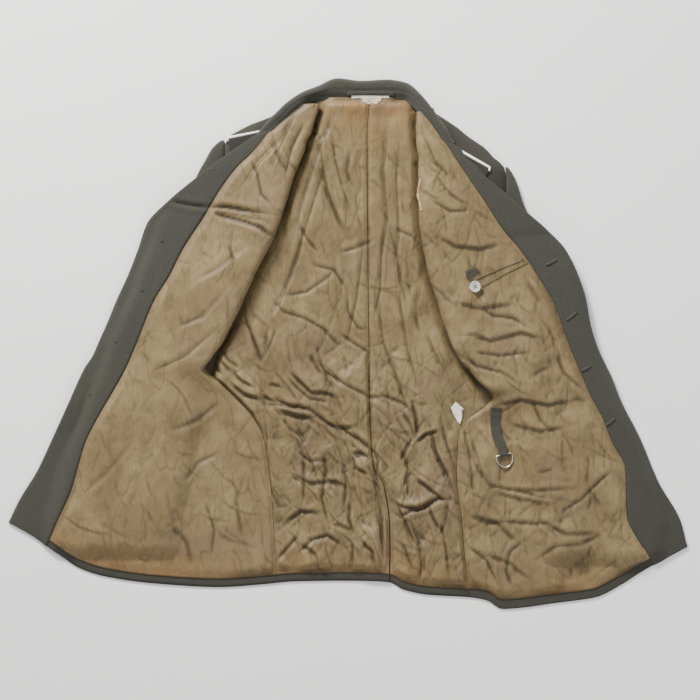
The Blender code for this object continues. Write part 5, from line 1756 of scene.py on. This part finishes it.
def strap_rows():
    """Centre, height and heading of the strap, from the lining to the tail behind the eye."""
    x, y = smooth_path(STRAP_LINE, STRAP_POINTS, 6)
    last = STRAP_POINTS - 1
    rows = []
    for k in range(STRAP_POINTS):
        ahead, behind = min(k + 1, last), max(k - 1, 0)
        heading = Vector((x[ahead] - x[behind], y[ahead] - y[behind])).normalized()
        heading = heading.lerp(hang_way, eased((k - 26) / 12.0)).normalized()
        z = max(height_on(chest, x[k] + a, y[k]) for a in (-8, 0, 8)) + 0.5 + STRAP_WALL
        near_ring = eased((k / last - 0.6) / 0.35)
        z = z * (1 - near_ring) + max(z, RING_HEIGHT + 2.4) * near_ring
        rows.append((Vector((x[k], y[k])), z, heading))
    wrap = RING_WIRE / 2 + 0.35 + STRAP_WALL
    for angle in np.radians(np.linspace(112, -90, 22)):
        spot = RING_AT + hang_way * wrap * math.cos(angle)
        rows.append((spot, RING_HEIGHT + wrap * math.sin(angle), hang_way))
    for back in np.linspace(2, 12, 6):
        rows.append((RING_AT - hang_way * back, RING_HEIGHT - wrap + 0.02 * back, hang_way))
    return rows


strap = strap_rows()
strap_grid = np.zeros((len(strap), STRAP_ACROSS, 3))
for k, (spot, z, heading) in enumerate(strap):
    wide = 16.0 - 2.0 * eased(k / 40)
    for j, share in enumerate(np.linspace(-0.5, 0.5, STRAP_ACROSS)):
        strap_grid[k, j] = (spot.x - heading.y * wide * share, spot.y + heading.x * wide * share, z)
strap_up = unit_normals(strap_grid)
if strap_up[5, STRAP_ACROSS // 2, 2] < 0:
    strap_up = -strap_up
cloth("hanger_strap_cloth", strap_grid, strap_up, STRAP_WALL, wool, ["hanger_strap"])

# %% [markdown]
# ## Front buttons
# The four tunic buttons are on the wool side, beneath the wearer's right front: stamped metal
# domes with a fine pebbled face.

# %% Front buttons
DOME = [
    (0, 0), (4.95, 0.2), (8.8, 0.95), (10.7, 1.9), (11, 2.4), (10.6, 2.9), (6.6, 4.0), (2.2, 4.2),
    (0, 4.2),
]
for k in range(4):
    name = "front_button_" + str(k + 1)
    low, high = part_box(name)
    centre = ((low[0] + high[0]) / 2 / MM, (low[1] + high[1]) / 2 / MM, low[2] / MM)
    turned("button_dome_" + str(k + 1), DOME, centre, pebble, [name], 40)

# %% [markdown]
# ## Buttonholes and thread marks
# The wearer's left facing has four worked buttonholes. The right one shows only the short dark
# stitches that hold the buttons beneath.

# %% Holes and stitches
facing_tree = {}
for side in (right, left):
    points, normals, u = front_grid[side]
    facing_tree[side] = tree_of_grid(points + normals * (SEAM + FACING + 0.9))


def on_facing(side, x, y, lift):
    return (x, y, height_on([facing_tree[side]], x, y) + lift)


BUTTONHOLES = [
    ((545.4, 265.0), (556.2, 259.3)), ((565.8, 320.0), (576.0, 312.0)),
    ((581.4, 370.5), (589.6, 366.0)), ((605.6, 425.0), (614.5, 418.0)),
]
THREAD_MARKS = [(162, 241), (143, 290), (116, 341), (90, 394)]
for k, (inner_end, outer_end) in enumerate(BUTTONHOLES):
    (ax, ay), (bx, by) = at_px(*inner_end), at_px(*outer_end)
    way = Vector((bx - ax, by - ay)).normalized()
    side_way = Vector((-way.y, way.x))
    middle = Vector(((ax + bx) / 2, (ay + by) / 2))
    half = (Vector((bx, by)) - Vector((ax, ay))).length / 2
    loop = []
    for angle in np.linspace(0, 2 * math.pi, 41)[:-1]:
        spot = middle + way * half * math.cos(angle) + side_way * 1.5 * math.sin(angle)
        loop.append(on_facing(left, spot.x, spot.y, 0.1))
    rod("buttonhole_stitch_" + str(k + 1), loop, 1.3, thread, cyclic=True)
    # A dark rod along the middle of the buttonhole: painted shade of its open slit.
    slit = [middle + way * half * 0.92 * f for f in np.linspace(-1, 1, 9)]
    slit = [on_facing(left, spot.x, spot.y, 0.05) for spot in slit]
    rod("buttonhole_slit_" + str(k + 1), slit, 1.7, thread)
for k, mark in enumerate(THREAD_MARKS):
    x, y, z = on_facing(right, *at_px(*mark), 0.15)
    for letter, turn in (("_a", 0.6), ("_b", 2.2)):
        way = Vector((math.cos(turn), math.sin(turn))) * 2.4
        line = []
        for f in np.linspace(-1, 1, 7):
            line.append((x + way.x * f, y + way.y * f, z + 0.4 * (1 - f * f)))
        rod("button_thread_" + str(k + 1) + letter, line, 0.9, thread)

# %% Measures
low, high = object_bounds()
print("dressed", [round(v, 4) for v in high - low])
